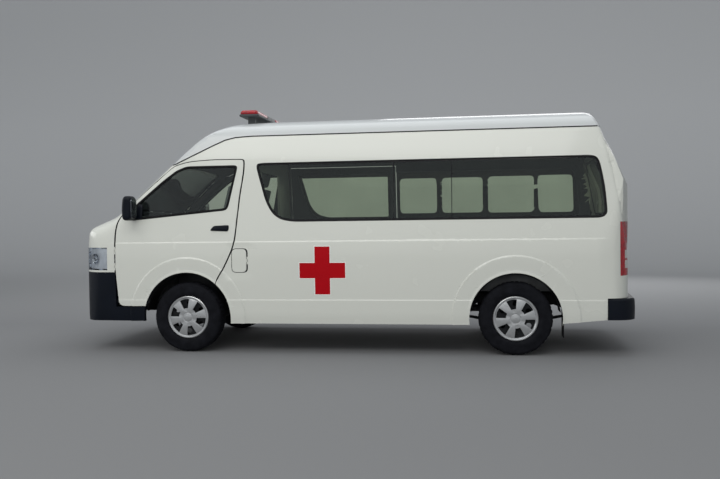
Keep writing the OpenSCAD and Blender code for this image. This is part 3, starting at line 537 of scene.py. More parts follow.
def solid(name, V, F, mats, body, split=35):
    """A closed mesh with its faces turned outwards."""
    me = bpy.data.meshes.new(name)
    me.from_pydata((np.asarray(V) * MM).tolist(), [], [list(map(int, f)) for f in F])
    for q in mats:
        me.materials.append(q)
    bm = bmesh.new(); bm.from_mesh(me)
    bmesh.ops.recalc_face_normals(bm, faces=bm.faces)
    bm.to_mesh(me); bm.free()
    me.polygons.foreach_set("use_smooth", np.full(len(me.polygons), True))
    me.set_sharp_from_angle(angle=math.radians(split))
    ob = bpy.data.objects.new(name, me)
    bpy.context.scene.collection.objects.link(ob)
    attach(ob, body)
    return ob

def on_side(s, level=0.0):
    def place(p):
        b = side_point(p[:, 0], p[:, 1], s, level)
        return b, slope(b)[0]
    return place

def bead(w, out, deep=6.0):
    return [(-w, -deep), (w, -deep), (w, out * 0.4), (w * 0.55, out), (-w * 0.55, out), (-w, out * 0.4)]

for s, tag in SIDES:
    d = DOOR[s]
    strip(f"door_seal_{tag}", DOOR_GLASS, bead(11, 3.0), on_side(s), SEAL, d)
    if s < 0:
        strip("band_seal_left", grown(BAND, 1), bead(6, 1.5), on_side(s), SEAL, "root")
strip("slide_seal", SLIDE_GLASS, bead(9, 2.5), on_side(1), SEAL, "root")

# ---------------------------------------------------------------- lathe, pads, boxes
def lathe(name, prof, mats, body, centre, n=96, out=1, shape=None, split=30):
    """A closed section [(radius, across)] turned about the wheel's axis; across grows outwards."""
    prof = np.array(prof, float); m = len(prof)
    th = np.arange(n) * 2 * math.pi / n
    R = np.repeat(prof[:, 0][None], n, 0); A = np.repeat(prof[:, 1][None], n, 0)
    if shape is not None:
        R, A = shape(th[:, None], R, A)
    V = np.stack([centre[0] + R * np.cos(th)[:, None], centre[1] + out * A,
                 centre[2] + R * np.sin(th)[:, None]], axis=2)
    F = []
    for i in range(n):
        q = (i + 1) % n
        for j in range(m):
            k = (j + 1) % m
            F.append([i * m + j, q * m + j, q * m + k, i * m + k])
    return solid(name, V.reshape(-1, 3), F, mats, body, split=split)

def rounded_block(name, lo, hi, mats, body, r=12.0, crowned=(0, 0, 0), n=14, taper=None, split=40):
    """A block with rolled edges; crowned lets faces swell by that much on each axis."""
    lo = np.array(lo, float); hi = np.array(hi, float)
    c = (lo + hi) / 2; h = (hi - lo) / 2; r = min(r, h.min() * 0.98)
    faces = []; V = []
    g = np.sin(np.linspace(-1, 1, n) * math.pi / 2)
    for ax in range(3):
        a, b = (ax + 1) % 3, (ax + 2) % 3
        for s in (-1, 1):
            base = len(V)
            for u in g:
                for v in g:
                    p = np.zeros(3); p[ax] = s; p[a] = u; p[b] = v
                    V.append(p)
            for i in range(n - 1):
                for j in range(n - 1):
                    q = [base + i * n + j, base + (i + 1) * n + j, base + (i + 1) * n + j + 1,
                         base + i * n + j + 1]
                    faces.append(q if s > 0 else q[::-1])
    V = np.array(V)
    key = np.round(V * 1e5).astype(int)
    _, first, inv = np.unique(key, axis=0, return_index=True, return_inverse=True)
    inv = inv.reshape(-1); V = V[first]
    P = V * h
    inner = h - r
    core = np.clip(P, -inner, inner)
    d = P - core
    ln = np.maximum(np.linalg.norm(d, axis=1), 1e-9)
    P = core + d / ln[:, None] * np.where(ln > 1e-6, r, 0)[:, None]
    on = np.abs(V) > 0.999
    P = np.where(on & (ln < 1e-6)[:, None], V * h, P)
    for ax in range(3):
        if crowned[ax]:
            a, b = (ax + 1) % 3, (ax + 2) % 3
            sw = (1 - V[:, a] ** 4) * (1 - V[:, b] ** 4)
            P[:, ax] += np.where(np.abs(V[:, ax]) > 0.999,
                                 np.sign(V[:, ax]) * crowned[ax] * sw - np.sign(V[:, ax]) * crowned[ax], 0)
    P = P + c
    if taper is not None:
        P = taper(P)
    F = [[int(inv[k]) for k in f] for f in faces]
    return solid(name, P, F, mats, body, split=split)

def prism(name, ring, ax, lo, hi, mats, body, split=30):
    """A closed ring drawn along an axis; ring holds the other two coordinates in order."""
    n = len(ring); V = []
    for w in (lo, hi):
        for q in ring:
            p = [0, 0, 0]; o = [k for k in range(3) if k != ax]
            p[ax] = w; p[o[0]] = q[0]; p[o[1]] = q[1]; V.append(p)
    return solid(name, V, ring_faces(2, n), mats, body, split=split)

# Gutter between the sides and the raised roof
ROOF_EDGE = [(PILLAR - 20, 1812), (PILLAR + 14, 1822), (AF + 110, 1931), (AF + 240, 1993), (AF + 361, 2046),
             (AF + 462, 2069), (AF + 616, GUTTER), (XR - 330, GUTTER)]
for s, tag in SIDES:
    strip(f"gutter_{tag}", ROOF_EDGE, bead(5.5, 5.0), on_side(s), SEAL, "root", closed=False)

for s, tag in SIDES:
    q = side_point(np.array([XR - 330.0]), np.array([GUTTER]), s)[0]
    a, b = sorted((q[1] + s * 7, q[1] - s * 10))
    rounded_block(f"gutter_cap_{tag}", (XR - 352, a, GUTTER - 9), (XR - 318, b, GUTTER + 10), [SEAL],
                  "root", r=5)

# ---------------------------------------------------------------- glass
def inside_out(p, outline):
    """Signed distance of 2-D points from a closed outline, negative inside."""
    a = outline; b = np.roll(outline, -1, axis=0)
    d = np.full(len(p), 1e9); odd = np.zeros(len(p), bool)
    for q, r in zip(a, b):
        e = r - q; w = p - q
        t = np.clip((w @ e) / max(e @ e, 1e-9), 0, 1)
        d = np.minimum(d, np.linalg.norm(w - t[:, None] * e, axis=1))
        c = ((q[1] > p[:, 1]) != (r[1] > p[:, 1]))
        with np.errstate(divide="ignore", invalid="ignore"):
            x = (r[0] - q[0]) * (p[:, 1] - q[1]) / (r[1] - q[1]) + q[0]
        odd ^= c & (p[:, 0] < x)
    return np.where(odd, -d, d)

def border(material, dark=(0.006, 0.006, 0.008)):
    """The same glass with its printed border: opaque where the mesh's border value is positive."""
    m = material.copy(); m.name = material.name + "_border"
    nt = m.node_tree
    out = nt.nodes["Material Output"]
    old = out.inputs["Surface"].links[0].from_socket
    at = nt.nodes.new("ShaderNodeAttribute"); at.attribute_name = "border"
    mr = nt.nodes.new("ShaderNodeMapRange")
    mr.inputs["From Min"].default_value = -0.6; mr.inputs["From Max"].default_value = 0.6
    nt.links.new(at.outputs["Fac"], mr.inputs["Value"])
    pr = nt.nodes.new("ShaderNodeBsdfPrincipled")
    pr.inputs["Base Color"].default_value = (*dark, 1); pr.inputs["Roughness"].default_value = 0.12
    mx = nt.nodes.new("ShaderNodeMixShader")
    nt.links.new(mr.outputs["Result"], mx.inputs["Fac"])
    nt.links.new(old, mx.inputs[1]); nt.links.new(pr.outputs["BSDF"], mx.inputs[2])
    nt.links.new(mx.outputs["Shader"], out.inputs["Surface"])
    return m

TINT_B = border(TINT); CLEAR_B = border(CLEAR)
def pane(node, material, body, rule, axes=(0, 2), fine=16.0, drop_fine=75.0):
    """A pane drawn onto the form with a printed border where rule(points, side) is positive."""
    def size(M):
        p = M[:, list(axes)]
        v = rule(p, np.where(M[:, 1] < 0, -1, 1))
        return np.where(np.abs(v) < 14, fine, drop_fine)
    ob, Q, _, _ = skin(node, [material], body, size=size)
    p = Q[:, list(axes)]
    v = rule(p, np.where(Q[:, 1] < 0, -1, 1))
    at = ob.data.attributes.new("border", "FLOAT", "POINT")
    at.data.foreach_set("value", v.astype(np.float32))
    return ob

def door_rule(p, s):
    return inside_out(p, DOOR_GLASS) + 13
for s, d in DOOR.items():
    pane("door_glass_" + ("left" if s < 0 else "right"), CLEAR_B, d, door_rule)

BARS_L = (AF + 2008, AF + 2544)
FAR_PANES = [curve([(a, z0), (b, z0), (b + c, z1), (a + c, z1)], 48) for a, b, c, z0, z1 in (
    (AF + 1905, AF + 2330, 0, 1330, 1730), (AF + 2390, AF + 2850, 0, 1330, 1730),
    (AF + 2910, AF + 3420, 0, 1325, 1735), (AF + 3475, BB - 55, -18, 1322, 1738))]
def side_rule(p, s):
    left = inside_out(p, BAND) + 16
    for x in BARS_L:
        left = np.maximum(left, 3.5 - np.abs(p[:, 0] - x))
    right = np.full(len(p), 1e9)
    for q in FAR_PANES:
        right = np.minimum(right, inside_out(p, q))
    right = np.minimum(right, inside_out(p, SLIDE_GLASS) + 34)
    return np.where(s < 0, left, right)
pane("side_glass", TINT_B, "root", side_rule)

SCREEN_LEN = math.hypot(SCREEN_TOP[0] - SCREEN_BASE[0], SCREEN_TOP[1] - SCREEN_BASE[1])
SCREEN_RING = curve([(35, -775), (SCREEN_LEN - 45, -690), (SCREEN_LEN - 45, 690), (35, 775)], 80)
def screen_rule(p, s):
    q = np.c_[(p[:, 0] - SCREEN_BASE[0]) / math.cos(SCREEN_A), p[:, 1]]
    return inside_out(q, SCREEN_RING) + 26
pane("windscreen", CLEAR_B, "root", screen_rule, axes=(0, 1))
GATE_RING = curve([(665, 1290), (625, 1830), (-625, 1830), (-665, 1290)], 70)
def gate_rule(p, s):
    return inside_out(p, GATE_RING) + 30
pane("tailgate_glass", TINT_B, "tailgate", gate_rule, axes=(1, 2))

# ---------------------------------------------------------------- wheels
TYRE = [(196, -74), (204, -80), (214, -90), (250, -97.0), (290, -94), (316, -86), (327, -76), (332, -66),
        (334.5, -52),
        (327, -50), (327, -42), (335.4, -40), (336, -26), (328, -24), (328, -16), (336, -14), (336, 14),
        (328, 16),
        (328, 24), (336, 26), (335.4, 40), (327, 42), (327, 50), (334.5, 52), (332, 66), (327, 76), (316, 86),
        (303, 91.5), (300, 91), (290, 94), (250, 97.0), (232, 95.6), (228, 94), (216, 89), (209, 80),
        (203, 66), (196, 60)]
def treads(th, R, A):
    k = np.floor(th / (2 * math.pi) * 144).astype(int) % 3
    block = (R > 330) & (k == 0)
    return np.where(block, R - 6.5, R), A

def cover(name, body, centre, out):
    """Six broad spokes, a rolled rim ring and a plain domed centre."""
    rs = np.array([0, 12, 24, 34, 40, 43, 50, 60, 74, 88, 100, 114, 128, 142, 156, 168, 176, 181, 188, 196,
                  203, 207])
    k = 12; per = 2 * k; n = 6 * per
    def half(r):
        return math.radians(14.4 + 2.6 * max(0.0, (150 - r) / 100)) if r > 34 else math.radians(20)
    lim = math.radians(30)
    r1, r2 = 88, 176
    V = []
    for r in rs:
        a = min(half(r), lim * 0.93)
        for sct in range(6):
            for j in range(per):
                t = j / k - 1.0
                m = abs(t); sg = 1 if t >= 0 else -1
                # t = -1 is the middle of a gap, 0 the middle of a spoke
                w = a * (m / 0.5) if m <= 0.5 else a + (lim - a) * (m - 0.5) / 0.5
                ang = math.radians(12 + 60 * sct) + sg * w
                if r <= 40:
                    h = 7 * math.cos(r / 40 * math.pi / 2)
                elif r <= 50:
                    h = -3.5 + 0.35 * (r - 43)
                elif r < 181:
                    h = -1.0 - 13.0 * (r - 50) / 131 + 5.0 * math.sin(math.pi * (r - 50) / 131)
                    h += 2.2 * (1 - min(1, (m / 0.42)) ** 6) if m < 0.42 and r > 60 and r < 176 else 0
                    h -= 2.5 * max(0, (m - 0.42) / 0.58)
                else:
                    h = -14 + 9 * math.sin(math.pi * min(1, (r - 181) / 26)) - (7 if r > 205 else 0)
                V.append((r * math.cos(ang), h, r * math.sin(ang)))
    F = []
    for i in range(1, len(rs) - 1):
        for j in range(n):
            q = (j + 1) % n
            jj = j % per
            tm = abs((jj + 0.5) / k - 1.0)
            rm = (rs[i] + rs[i + 1]) / 2
            if r1 <= rm <= r2 and tm > 0.5:
                continue
            F.append([i * n + j, (i + 1) * n + j, (i + 1) * n + q, i * n + q])
    F.append([n + j for j in range(n)][::-1])
    V = np.array(V)
    used = sorted({k2 for f in F for k2 in f}); back = {u: i for i, u in enumerate(used)}
    V = V[used]; F = [[back[q] for q in f] for f in F]
    nv = len(V)
    W = V.copy(); W[:, 1] -= 7
    F2 = shell_faces(F, nv)
    P = np.vstack([V, W])
    X = np.c_[centre[0] + P[:, 0], centre[1] + out * P[:, 1], centre[2] + P[:, 2]]
    return solid(name, X, F2, [SILVER], body, split=28)

for end, cx in (("front", AF), ("rear", AR)):
    for s, side in SIDES:
        body = f"wheel_{end}_{side}"
        c = (cx, s * WHEEL_Y, TYRE_R)
        t = lathe(f"tread_{end}_{side}", TYRE, [RUBBER], body, c, n=144, out=s, shape=treads,
                  split=25)
        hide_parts(f"tyre_{end}_{side}")
        cover(f"wheel_cover_{end}_{side}", body, (cx, s * (WHEEL_Y + 89), TYRE_R), s)
        lathe(f"wheel_ring_{end}_{side}", [(186, 40), (200, 60), (203, 66), (201, 68), (182, 46)],
              [SILVER], body, c, n=72, out=s)

for end, cx, r0 in (("front", AF, ARCH_F), ("rear", AR, ARCH_R)):
    for s, side in SIDES:
        V = []; m = 37
        for y, r in ((690, r0 - 12), (892, r0 - 12), (892, r0 - 15), (690, r0 - 15)):
            for i in range(m):
                t = math.radians(8 + 164 * i / (m - 1))
                V.append((cx + r * math.cos(t), s * y, TYRE_R + r * math.sin(t)))
        solid(f"arch_liner_{end}_{side}", V, run_faces(4, m), [SEAL], "root", split=40)

# ---------------------------------------------------------------- red cross
def cross(name, s, cx, cz, grow_by, out, material):
    """A cross of film lying on side s, standing proud of the skin by out."""
    a, b, w = 218 + grow_by, 225 + grow_by, 72 + grow_by
    gx = sorted({-a, -w, w, a} | set(np.linspace(-a, a, 19).tolist()))
    gz = sorted({-b, -w, w, b} | set(np.linspace(-b, b, 19).tolist()))
    ids = {}; P = []; F = []
    def vid(i, j):
        if (i, j) not in ids:
            ids[(i, j)] = len(P); P.append((gx[i] + cx, gz[j] + cz))
        return ids[(i, j)]
    for i in range(len(gx) - 1):
        for j in range(len(gz) - 1):
            mx, mz = (gx[i] + gx[i + 1]) / 2, (gz[j] + gz[j + 1]) / 2
            if abs(mx) < w or abs(mz) < w:
                F.append([vid(i, j), vid(i + 1, j), vid(i + 1, j + 1), vid(i, j + 1)])
    P = np.array(P)
    B = side_point(P[:, 0], P[:, 1], s); n, _ = slope(B)
    V = np.vstack([B + n * out, B - n * 1.0]); nv = len(P)
    return solid(name, V, shell_faces(F, nv), [material], "root", split=50)
for s, tag in SIDES:
    cx = -206 if s < 0 else AF + 2250
    cross(f"cross_border_{tag}", s, cx, 784, 7, 0.7, EDGE)
    cross(f"cross_{tag}", s, cx, 784, 0, 1.3, RED)

# ---------------------------------------------------------------- lamps
skin("headlamps", [LAMPG])
def fan(s, zs, us, level):
    """A patch of the nose corner: us runs from the grille side (0) round to the wing (1)."""
    O = []; D = []
    for u in us:
        th = u * math.radians(84)
        for z in zs:
            O.append((XF + 560, s * 420, z)); D.append((-math.cos(th), s * math.sin(th) * 1.0, 0))
    return cast(O, D, level)
def patch(name, P, nu, nz, thick, mats, body, split=40):
    n, _ = slope(P)
    V = np.vstack([P, P - n * thick]); nv = len(P); F = []
    for i in range(nu - 1):
        for j in range(nz - 1):
            F.append([i * nz + j, (i + 1) * nz + j, (i + 1) * nz + j + 1, i * nz + j + 1])
    return solid(name, V, shell_faces(F, nv), mats, body, split=split)
for s, tag in SIDES:
    us = np.linspace(0.14, 0.985, 26); zs = np.linspace(806, 1004, 9)
    # The bowl's pale bluish white is a painted reflection
    patch(f"lamp_bowl_{tag}", fan(s, zs, us, -26), 26, 9, 4, [BOWL_PAINTED_REFLECTION], "root")
    for k, (th, r) in enumerate(((26, 62), (52, 50))):
        O = [(XF + 560, s * 420, 905)]; D = [(-math.cos(math.radians(th)), s * math.sin(math.radians(th)), 0)]
        c = cast(O, D, -14)[0]; n = slope(np.array([c]))[0][0]
        a = np.cross(n, (0, 0, 1)); a /= np.linalg.norm(a); b = np.cross(n, a)
        rings = [(r, 0), (r * 1.04, 3), (r * 0.96, 4), (r * 0.8, -4), (r * 0.45, -10), (r * 0.3, -4),
                 (r * 0.12, 1), (r * 0.12, -12)]
        V = []; F = []
        for q, h in rings:
            for i in range(40):
                t = i * math.pi / 20
                V.append(c + (a * math.cos(t) + b * math.sin(t)) * q + n * h)
        V = V + [c - n * 12]
        for j in range(len(rings) - 1):
            for i in range(40):
                F.append([j * 40 + i, j * 40 + (i + 1) % 40, (j + 1) * 40 + (i + 1) % 40, (j + 1) * 40 + i])
        F += [[(len(rings) - 1) * 40 + i, (len(rings) - 1) * 40 + (i + 1) % 40, len(V) - 1]
              for i in range(40)]
        solid(f"lamp_cup_{k}_{tag}", V, F, [CHROME], "root", split=60)
ob, Q, T, lv = skin("tail_lamps", [LENS_R, LENS_W], size=lambda M: np.full(len(M), 16.0))
z = Q[T].mean(axis=1)[:, 2]; x = Q[T].mean(axis=1)[:, 0]
white = ((z > 880) & (z < 955) | (z > 790) & (z < 862)) & (x > XR - 150)
ob.data.polygons.foreach_set("material_index", white.astype(np.int32))

# ---------------------------------------------------------------- rear bumper
def bumper_path(w, bow, r, x):
    c = crown(w, bow, r, 10)
    return np.array([(XR - 314, -w)] + [(x - q[1], q[0]) for q in c] + [(XR - 314, w)])
sec = [(0, 329), (0, 345), (3, 430), (0, 505), (-12, 520), (-34, 523), (-70, 523), (-70, 515), (-34, 512),
       (-34, 340), (-34, 329)]
P = dense(bumper_path(HALF - 9, 75, 190, XR), 40, closed=False)
tan = np.gradient(P, axis=0); tan /= np.linalg.norm(tan, axis=1)[:, None]
nor = np.c_[tan[:, 1], -tan[:, 0]]
V = []; m = len(sec); n = len(P)
for off, zz in sec:
    V += [(q[0] + k[0] * (off - 3.5), q[1] + k[1] * (off - 3.5), zz) for q, k in zip(P, nor)]
b = solid("rear_bumper_skin", V, run_faces(m, n), [BLACK], "root", split=35)
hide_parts("rear_bumper")

# ---------------------------------------------------------------- doors' small pieces
def handle(name, s, x0, x1, z0, z1, body):
    ring = curve([(x0, z0 + 8), (x1 - 4, z0), (x1, z1 - 6), (x1 - 10, z1), (x0 + 40, z1 - 6)], 22)
    V, F = stacked(ring, ((1.0, -14), (1.0, 2), (0.94, 9), (0.82, 13), (0.5, 15)), on_side(s))
    return solid(name, V, F, [BLACK], body, split=50)
for s, tag in SIDES:
    d = DOOR[s]
    handle(f"door_handle_{tag}", s, -1304, -1112, 1160, 1221, d)
handle("slide_handle", 1, AF + 700, AF + 880, 1130, 1188, "root")

# Mirror: rounded shell, glass and arm over a plate in the window's corner
for s, tag in SIDES:
    d = DOOR[s]
    x0, x1, y0, y1, z0, z1 = AF - 575, AF - 472, HALF + 25, HALF + 168, 1276.0, 1510.0
    def shape(P, s=s):
        t = (P[:, 2] - z0) / (z1 - z0)
        w = 0.80 + 0.20 * np.sin(np.clip(t, 0, 1) * math.pi)
        P[:, 0] = (x0 + x1) / 2 + (P[:, 0] - (x0 + x1) / 2) * w + 8 * (t - 0.5)
        return P
    rounded_block(f"mirror_shell_{tag}", (x0, min(s * y0, s * y1), z0), (x1, max(s * y0, s * y1), z1),
                  [BLACK], d,
                  r=36, n=16, taper=shape)
    ring = curve([(s * (y0 + 16), z0 + 22), (s * (y1 - 14), z0 + 22), (s * (y1 - 14), z1 - 22),
                 (s * (y0 + 16), z1 - 22)], 40)
    prism(f"mirror_glass_{tag}", ring, 0, x1 - 9, x1 - 1, [MIRROR], d)
    arm = curve([(x0 + 6, 1286), (x0 + 78, 1286), (x0 + 70, 1340), (x0 + 10, 1352)], 16)
    prism(f"mirror_arm_{tag}", arm, 1, min(s * (HALF - 30), s * (y0 + 30)),
          max(s * (HALF - 30), s * (y0 + 30)), [BLACK], d)
    sail = curve([(AF - 592, 1282), (AF - 452, 1293), (AF - 446, 1424), (AF - 476, 1440), (AF - 530, 1388)],
                 18)
    V, F = stacked(sail, ((1.0, -12), (1.0, 3), (0.93, 7), (0.5, 8)), on_side(s))
    solid(f"mirror_sail_{tag}", V, F, [BLACK], d, split=50)

# Windscreen wipers, plate holders, tailgate handle
def top_point(x, y, level=0.0):
    O = np.c_[np.full(len(x), 0.0) + x, y, np.full(len(x), 1000.0)]
    return cast(O, np.tile([0.0, 0, 1], (len(x), 1)), level, 1600)
for k, (ya, yb) in enumerate(((-90, -640), (560, 30))):
    t = np.linspace(0, 1, 16)
    x = SCREEN_BASE[0] + 12 + 70 * t; y = ya + (yb - ya) * t
    B = top_point(x, y); n, _ = slope(B)
    tan = np.gradient(B, axis=0); tan /= np.linalg.norm(tan, axis=1)[:, None]
    ac = np.cross(tan, n)
    secs = [(-7, 2), (7, 2), (5, 12), (-5, 12)]
    V = np.concatenate([B + ac * a + n * b for a, b in secs])
    solid(f"wiper_{k}", V, run_faces(4, len(B)), [BLACK], "root")
def rear_point(y, z, level=0.0):
    O = np.c_[np.full(len(y), XR - 700.0), y, z]
    return cast(O, np.tile([1.0, 0, 0], (len(y), 1)), level, 1200)
def gate_face(p):
    """Points and outward directions of the tailgate's flat lower part over (y, z)."""
    b = np.c_[XR - 62 - 70 * (p[:, 0] / HALF) ** 2 - 0.039 * np.maximum(0, p[:, 1] - 997), p]
    u = np.c_[np.ones(len(p)), 140 * p[:, 0] / HALF ** 2, np.zeros(len(p))]
    return b, u / np.linalg.norm(u, axis=1)[:, None]

def rear_pad(name, y0, y1, z0, z1, r, outs, mats, body):
    """A rounded rectangle standing on the tailgate; outs is [(size, height)]."""
    V, F = stacked(dense(curve([(y0, z0), (y1, z0), (y1, z1), (y0, z1)], r), 40), outs, gate_face)
    return solid(name, V, F, mats, body, split=40)

rear_pad("plate_recess", -290, 290, 800, 990, 20, ((1, -6), (1, 4), (0.97, 7), (0.9, 5), (0.5, 5)), [BLACK],
         "tailgate")
rear_pad("plate_rear", -255, 255, 830, 945, 10, ((1, 2), (1, 8), (0.98, 9), (0.5, 9)), [EDGE], "tailgate")
rear_pad("gate_grip", -170, 170, 1035, 1080, 18, ((1, -4), (1, 10), (0.92, 16), (0.5, 17)), [BLACK],
         "tailgate")
strip("gate_glass_seal", GATE_RING, bead(11, 3.0),
      lambda p: (rear_point(p[:, 0], p[:, 1]), slope(rear_point(p[:, 0], p[:, 1]))[0]), SEAL, "tailgate")

# ---------------------------------------------------------------- light bar
bx0, bx1, bz0, bz1, bh = AF + 435, AF + 635, 2302.0, 2368.0, 560.0
def bar_shape(P):
    t = np.clip((P[:, 2] - bz0) / (bz1 - bz0), 0, 1)
    P[:, 0] = (bx0 + bx1) / 2 + (P[:, 0] - (bx0 + bx1) / 2) * (1 - 0.16 * t ** 2)
    return P
base = rounded_block("bar_base", (bx0, -bh, bz0), (bx1, bh, bz0 + 24), [GREYP], "root",
                     r=11, n=18)
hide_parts("light_bar")
for s, tag in SIDES:
    a, b = sorted((s * 168, s * (bh - 2)))
    rounded_block(f"bar_lens_{tag}", (bx0 + 3, a, bz0 + 18), (bx1 - 3, b, bz1 - 1), [LENS_R], "root",
                  r=26, n=20, taper=bar_shape)
    foot = curve([(bx0 + 62, s * 430), (bx1 - 62, s * 430), (bx1 - 62, s * 470), (bx0 + 62, s * 470)], 14)
    prism(f"bar_foot_{tag}", foot, 2, 2222, bz0 + 4, [GREYP], "root")
rounded_block("bar_speaker", (bx0 + 8, -172, bz0 + 16), (bx1 - 8, 172, bz1 - 6), [GREYP], "root",
              r=14, n=16, taper=bar_shape)

# ---------------------------------------------------------------- cab and load space
def pad(name, lo, hi, mats, crownd, r=34, n=18, taper=None, body="root"):
    o = rounded_block(name, lo, hi, mats, body, r=r, crowned=crownd, n=n, taper=taper, split=70)
    return o
for i, y in enumerate((-440, 440)):
    tag = "left" if y < 0 else "right"
    def lean(P):
        P[:, 0] += (P[:, 2] - 1000) * 0.255
        return P
    p = pad(f"seat_cushion_{tag}", (AF - 228, y - 256, 864), (AF + 250, y + 256, 1008), [FABRIC],
            (6, 6, 16))
    pad(f"seat_back_{tag}", (AF + 184, y - 242, 1004), (AF + 284, y + 242, 1618), [FABRIC],
        (16, 6, 6), taper=lean)
    pad(f"seat_head_{tag}", (AF + 200, y - 126, 1640), (AF + 266, y + 126, 1798), [FABRIC],
        (8, 5, 5), r=26, taper=lean)
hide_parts("front_seats")
bench = pad("bench_pad", (AF + 2016, 486, 900), (XR - 306, 812, 1006), [VINYL], (3, 4, 12))
rounded_block("bench_box", (AF + 2020, 520, 604), (AR - 446, 800, 902), [TRIM], "root",
              r=10)
rounded_block("bench_box_rear", (AR + 446, 520, 604), (XR - 312, 800, 902), [TRIM], "root",
              r=10)
rounded_block("bench_box_top", (AR - 446, 520, 806), (AR + 446, 800, 902), [TRIM], "root",
              r=10)
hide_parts("side_bench")

# Handwheel: padded rim, three spokes, plain boss
hub = np.array([AF - 352, -400, 1190.0]); tl = math.radians(41)
ux = np.array([math.cos(tl), 0, -math.sin(tl)])
uz = np.array([math.sin(tl), 0, math.cos(tl)]); uy = np.array([0, 1.0, 0])
def wheel_point(r, a, h):
    return hub + (ux * math.cos(a) + uy * math.sin(a)) * r + uz * h
V = []; F = []; n, m = 64, 12
for i in range(n):
    for j in range(m):
        t = j * 2 * math.pi / m; a = i * 2 * math.pi / n
        rr = 14.6 - 1.2 * (math.cos(a * 20) > 0.94)
        V.append(wheel_point(185 + rr * math.cos(t), a, rr * math.sin(t)))
F = [[i * m + j, ((i + 1) % n) * m + j, ((i + 1) % n) * m + (j + 1) % m, i * m + (j + 1) % m]
     for i in range(n) for j in range(m)]
hw = solid("handwheel_rim", V, F, [CABIN], "steering_wheel", split=60)
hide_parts("steering_wheel")
def turned(name, prof, body, mat_):
    n = 40
    V = [wheel_point(max(r, 0.5), i * 2 * math.pi / n, h) for r, h in prof for i in range(n)]
    return solid(name, V, ring_faces(len(prof), n), [mat_], body, split=40)
turned("handwheel_boss", [(26, -50), (60, -22), (64, -4), (58, 8), (40, 14), (10, 16)], "steering_wheel",
       CABIN)
for k, a in enumerate((90, 210, 330)):
    a = math.radians(a); V = []
    for r, w, h in ((40, 18, 0), (90, 14, -4), (140, 12, -3), (180, 15, 0)):
        for dw, dh in ((-w, -7), (w, -7), (w, 5), (-w, 5)):
            V.append(wheel_point(r, a, h + dh) + (-ux * math.sin(a) + uy * math.cos(a)) * dw)
    solid(f"handwheel_spoke_{k}", V, ring_faces(4, 4), [CABIN], "steering_wheel", split=40)

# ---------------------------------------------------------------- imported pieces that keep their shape
KEEP = {"floor_pan": FLOORM, "chassis_frame": STEEL, "front_suspension": STEEL, "rear_axle": CASTM,
        "leaf_springs": STEEL,
        "engine_block": CASTM, "propeller_shaft": CASTM, "fuel_tank": STEEL, "exhaust": EXH, "mudflaps": SEAL,
        "dashboard": CABIN, "partition": TRIM, "knuckle_left": CASTM, "knuckle_right": CASTM,
        "rim_front_left": DARKM, "rim_front_right": DARKM, "rim_rear_left": DARKM, "rim_rear_right": DARKM}
for n_, m_ in KEEP.items():
    o = NODES[n_]
    if not o.material_slots:
        o.data.materials.append(m_)
    for sl in o.material_slots:
        sl.material = m_

# ---------------------------------------------------------------- stage, light, camera
sc = bpy.context.scene
sc.view_settings.view_transform = "Standard"
def stage_mat(name, colour):
    m = bpy.data.materials.new(name); m.use_nodes = True
    b = m.node_tree.nodes["Principled BSDF"]
    b.inputs["Base Color"].default_value = (*colour, 1)
    b.inputs["Roughness"].default_value = 0.9
    b.inputs["Specular IOR Level"].default_value = 0.1
    return m
me = bpy.data.meshes.new("floor")
# One sheet: level under the vehicle, then rolled up behind it so that no horizon shows
sweep = [(-40.0, 0.0), (10.0, 0.0)]
sweep += [(10.0 + 9.0 * math.sin(math.radians(6 * i)), 9.0 - 9.0 * math.cos(math.radians(6 * i)))
          for i in range(1, 16)]
sweep += [(19.0, 30.0)]
me.from_pydata([(x, y, z) for y, z in sweep for x in (-45.0, 45.0)], [],
               [(2 * i, 2 * i + 1, 2 * i + 3, 2 * i + 2) for i in range(len(sweep) - 1)])
me.polygons.foreach_set("use_smooth", [True] * len(me.polygons))
stage = stage_mat("floor_grey", (0.24, 0.243, 0.25))
# Painted light: the floor's grey ramps from dark by the vehicle to pale at the top of the rolled-up back
snt = stage.node_tree
stc = snt.nodes.new("ShaderNodeTexCoord"); sxyz = snt.nodes.new("ShaderNodeSeparateXYZ")
smr = snt.nodes.new("ShaderNodeMapRange"); floor_painted_light_ramp = snt.nodes.new("ShaderNodeValToRGB")
smr.inputs["From Min"].default_value = 1.0; smr.inputs["From Max"].default_value = 18.0
floor_painted_light_ramp.color_ramp.elements[0].color = (0.235, 0.238, 0.245, 1)
floor_painted_light_ramp.color_ramp.elements[1].color = (0.74, 0.745, 0.755, 1)
snt.links.new(stc.outputs["Object"], sxyz.inputs["Vector"])
snt.links.new(sxyz.outputs["Y"], smr.inputs["Value"])
snt.links.new(smr.outputs["Result"], floor_painted_light_ramp.inputs["Fac"])
snt.links.new(floor_painted_light_ramp.outputs["Color"], snt.nodes["Principled BSDF"].inputs["Base Color"])
me.materials.append(stage)
fl = bpy.data.objects.new("floor", me); sc.collection.objects.link(fl)

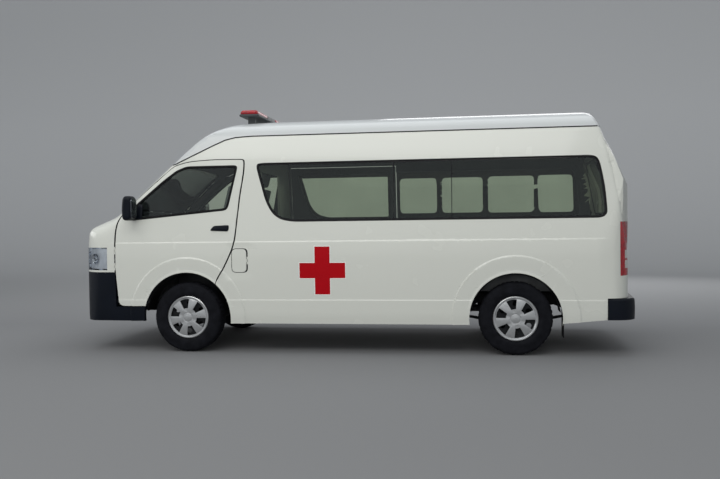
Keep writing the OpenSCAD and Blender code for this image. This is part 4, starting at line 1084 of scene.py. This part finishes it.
w = bpy.data.worlds.new("studio"); sc.world = w; w.use_nodes = True
nt = w.node_tree; bg = nt.nodes["Background"]
bg.inputs["Color"].default_value = (0.93, 0.97, 1.0, 1); bg.inputs["Strength"].default_value = 0.42
bg2 = nt.nodes.new("ShaderNodeBackground"); bg2.inputs["Color"].default_value = (0.43, 0.43, 0.44, 1)
lp = nt.nodes.new("ShaderNodeLightPath"); mx = nt.nodes.new("ShaderNodeMixShader")
ad = nt.nodes.new("ShaderNodeMath"); ad.operation = "ADD"; ad.use_clamp = True
nt.links.new(lp.outputs["Is Camera Ray"], ad.inputs[0])
nt.links.new(lp.outputs["Is Transmission Ray"], ad.inputs[1])
nt.links.new(ad.outputs["Value"], mx.inputs["Fac"])
nt.links.new(bg.outputs["Background"], mx.inputs[1]); nt.links.new(bg2.outputs["Background"], mx.inputs[2])
nt.links.new(mx.outputs["Shader"], nt.nodes["World Output"].inputs["Surface"])

def lamp(name, at, to, size, power, colour):
    l = bpy.data.lights.new(name, "AREA")
    l.shape = "RECTANGLE"; l.size, l.size_y = size; l.energy = power; l.color = colour
    o = bpy.data.objects.new(name, l); sc.collection.objects.link(o)
    o.location = at
    o.rotation_euler = (Vector(to) - Vector(at)).to_track_quat("-Z", "Y").to_euler()
# name, place, aim, size, power, colour
for row in (("top_soft", (0.0, 0.5, 7.0), (0, 0, 1), (9, 6), 175, (0.94, 0.97, 1)),
            ("near_soft", (-1.5, -7.5, 7.6), (0, 0, 1.1), (10, 4), 290, (1, 0.99, 0.95)),
            ("near_low", (-0.5, -10.5, 1.9), (0, 0, 1.0), (10, 2.4), 225, (1, 0.99, 0.96)),
            ("far_soft", (3.0, 8.5, 4.5), (0, 0, 1.0), (8, 4), 160, (1, 1, 1)),
            ("front_soft", (-9.0, -1.0, 3.5), (-1, 0, 1.0), (5, 3), 90, (1, 1, 1))):
    lamp(*row)
bpy.data.objects["near_low"].visible_glossy = False

CAMERA_AT = Vector((1.186, -7.970, 1.219))
cam = bpy.data.cameras.new("camera"); cam.sensor_width = 36.0; cam.lens = 38.25; cam.clip_end = 200
co = bpy.data.objects.new("camera", cam); sc.collection.objects.link(co); sc.camera = co
yaw, pitch, roll = 0.1456, -0.0208, -0.0129
fw = Vector((-math.sin(yaw) * math.cos(pitch), math.cos(yaw) * math.cos(pitch), math.sin(pitch)))
rt = Vector((math.cos(yaw), math.sin(yaw), 0)); up = rt.cross(fw)
r2 = rt * math.cos(roll) + up * math.sin(roll); u2 = -rt * math.sin(roll) + up * math.cos(roll)
R = Matrix((r2, u2, -fw)).transposed().to_4x4()
co.matrix_world = Matrix.Translation(CAMERA_AT) @ R
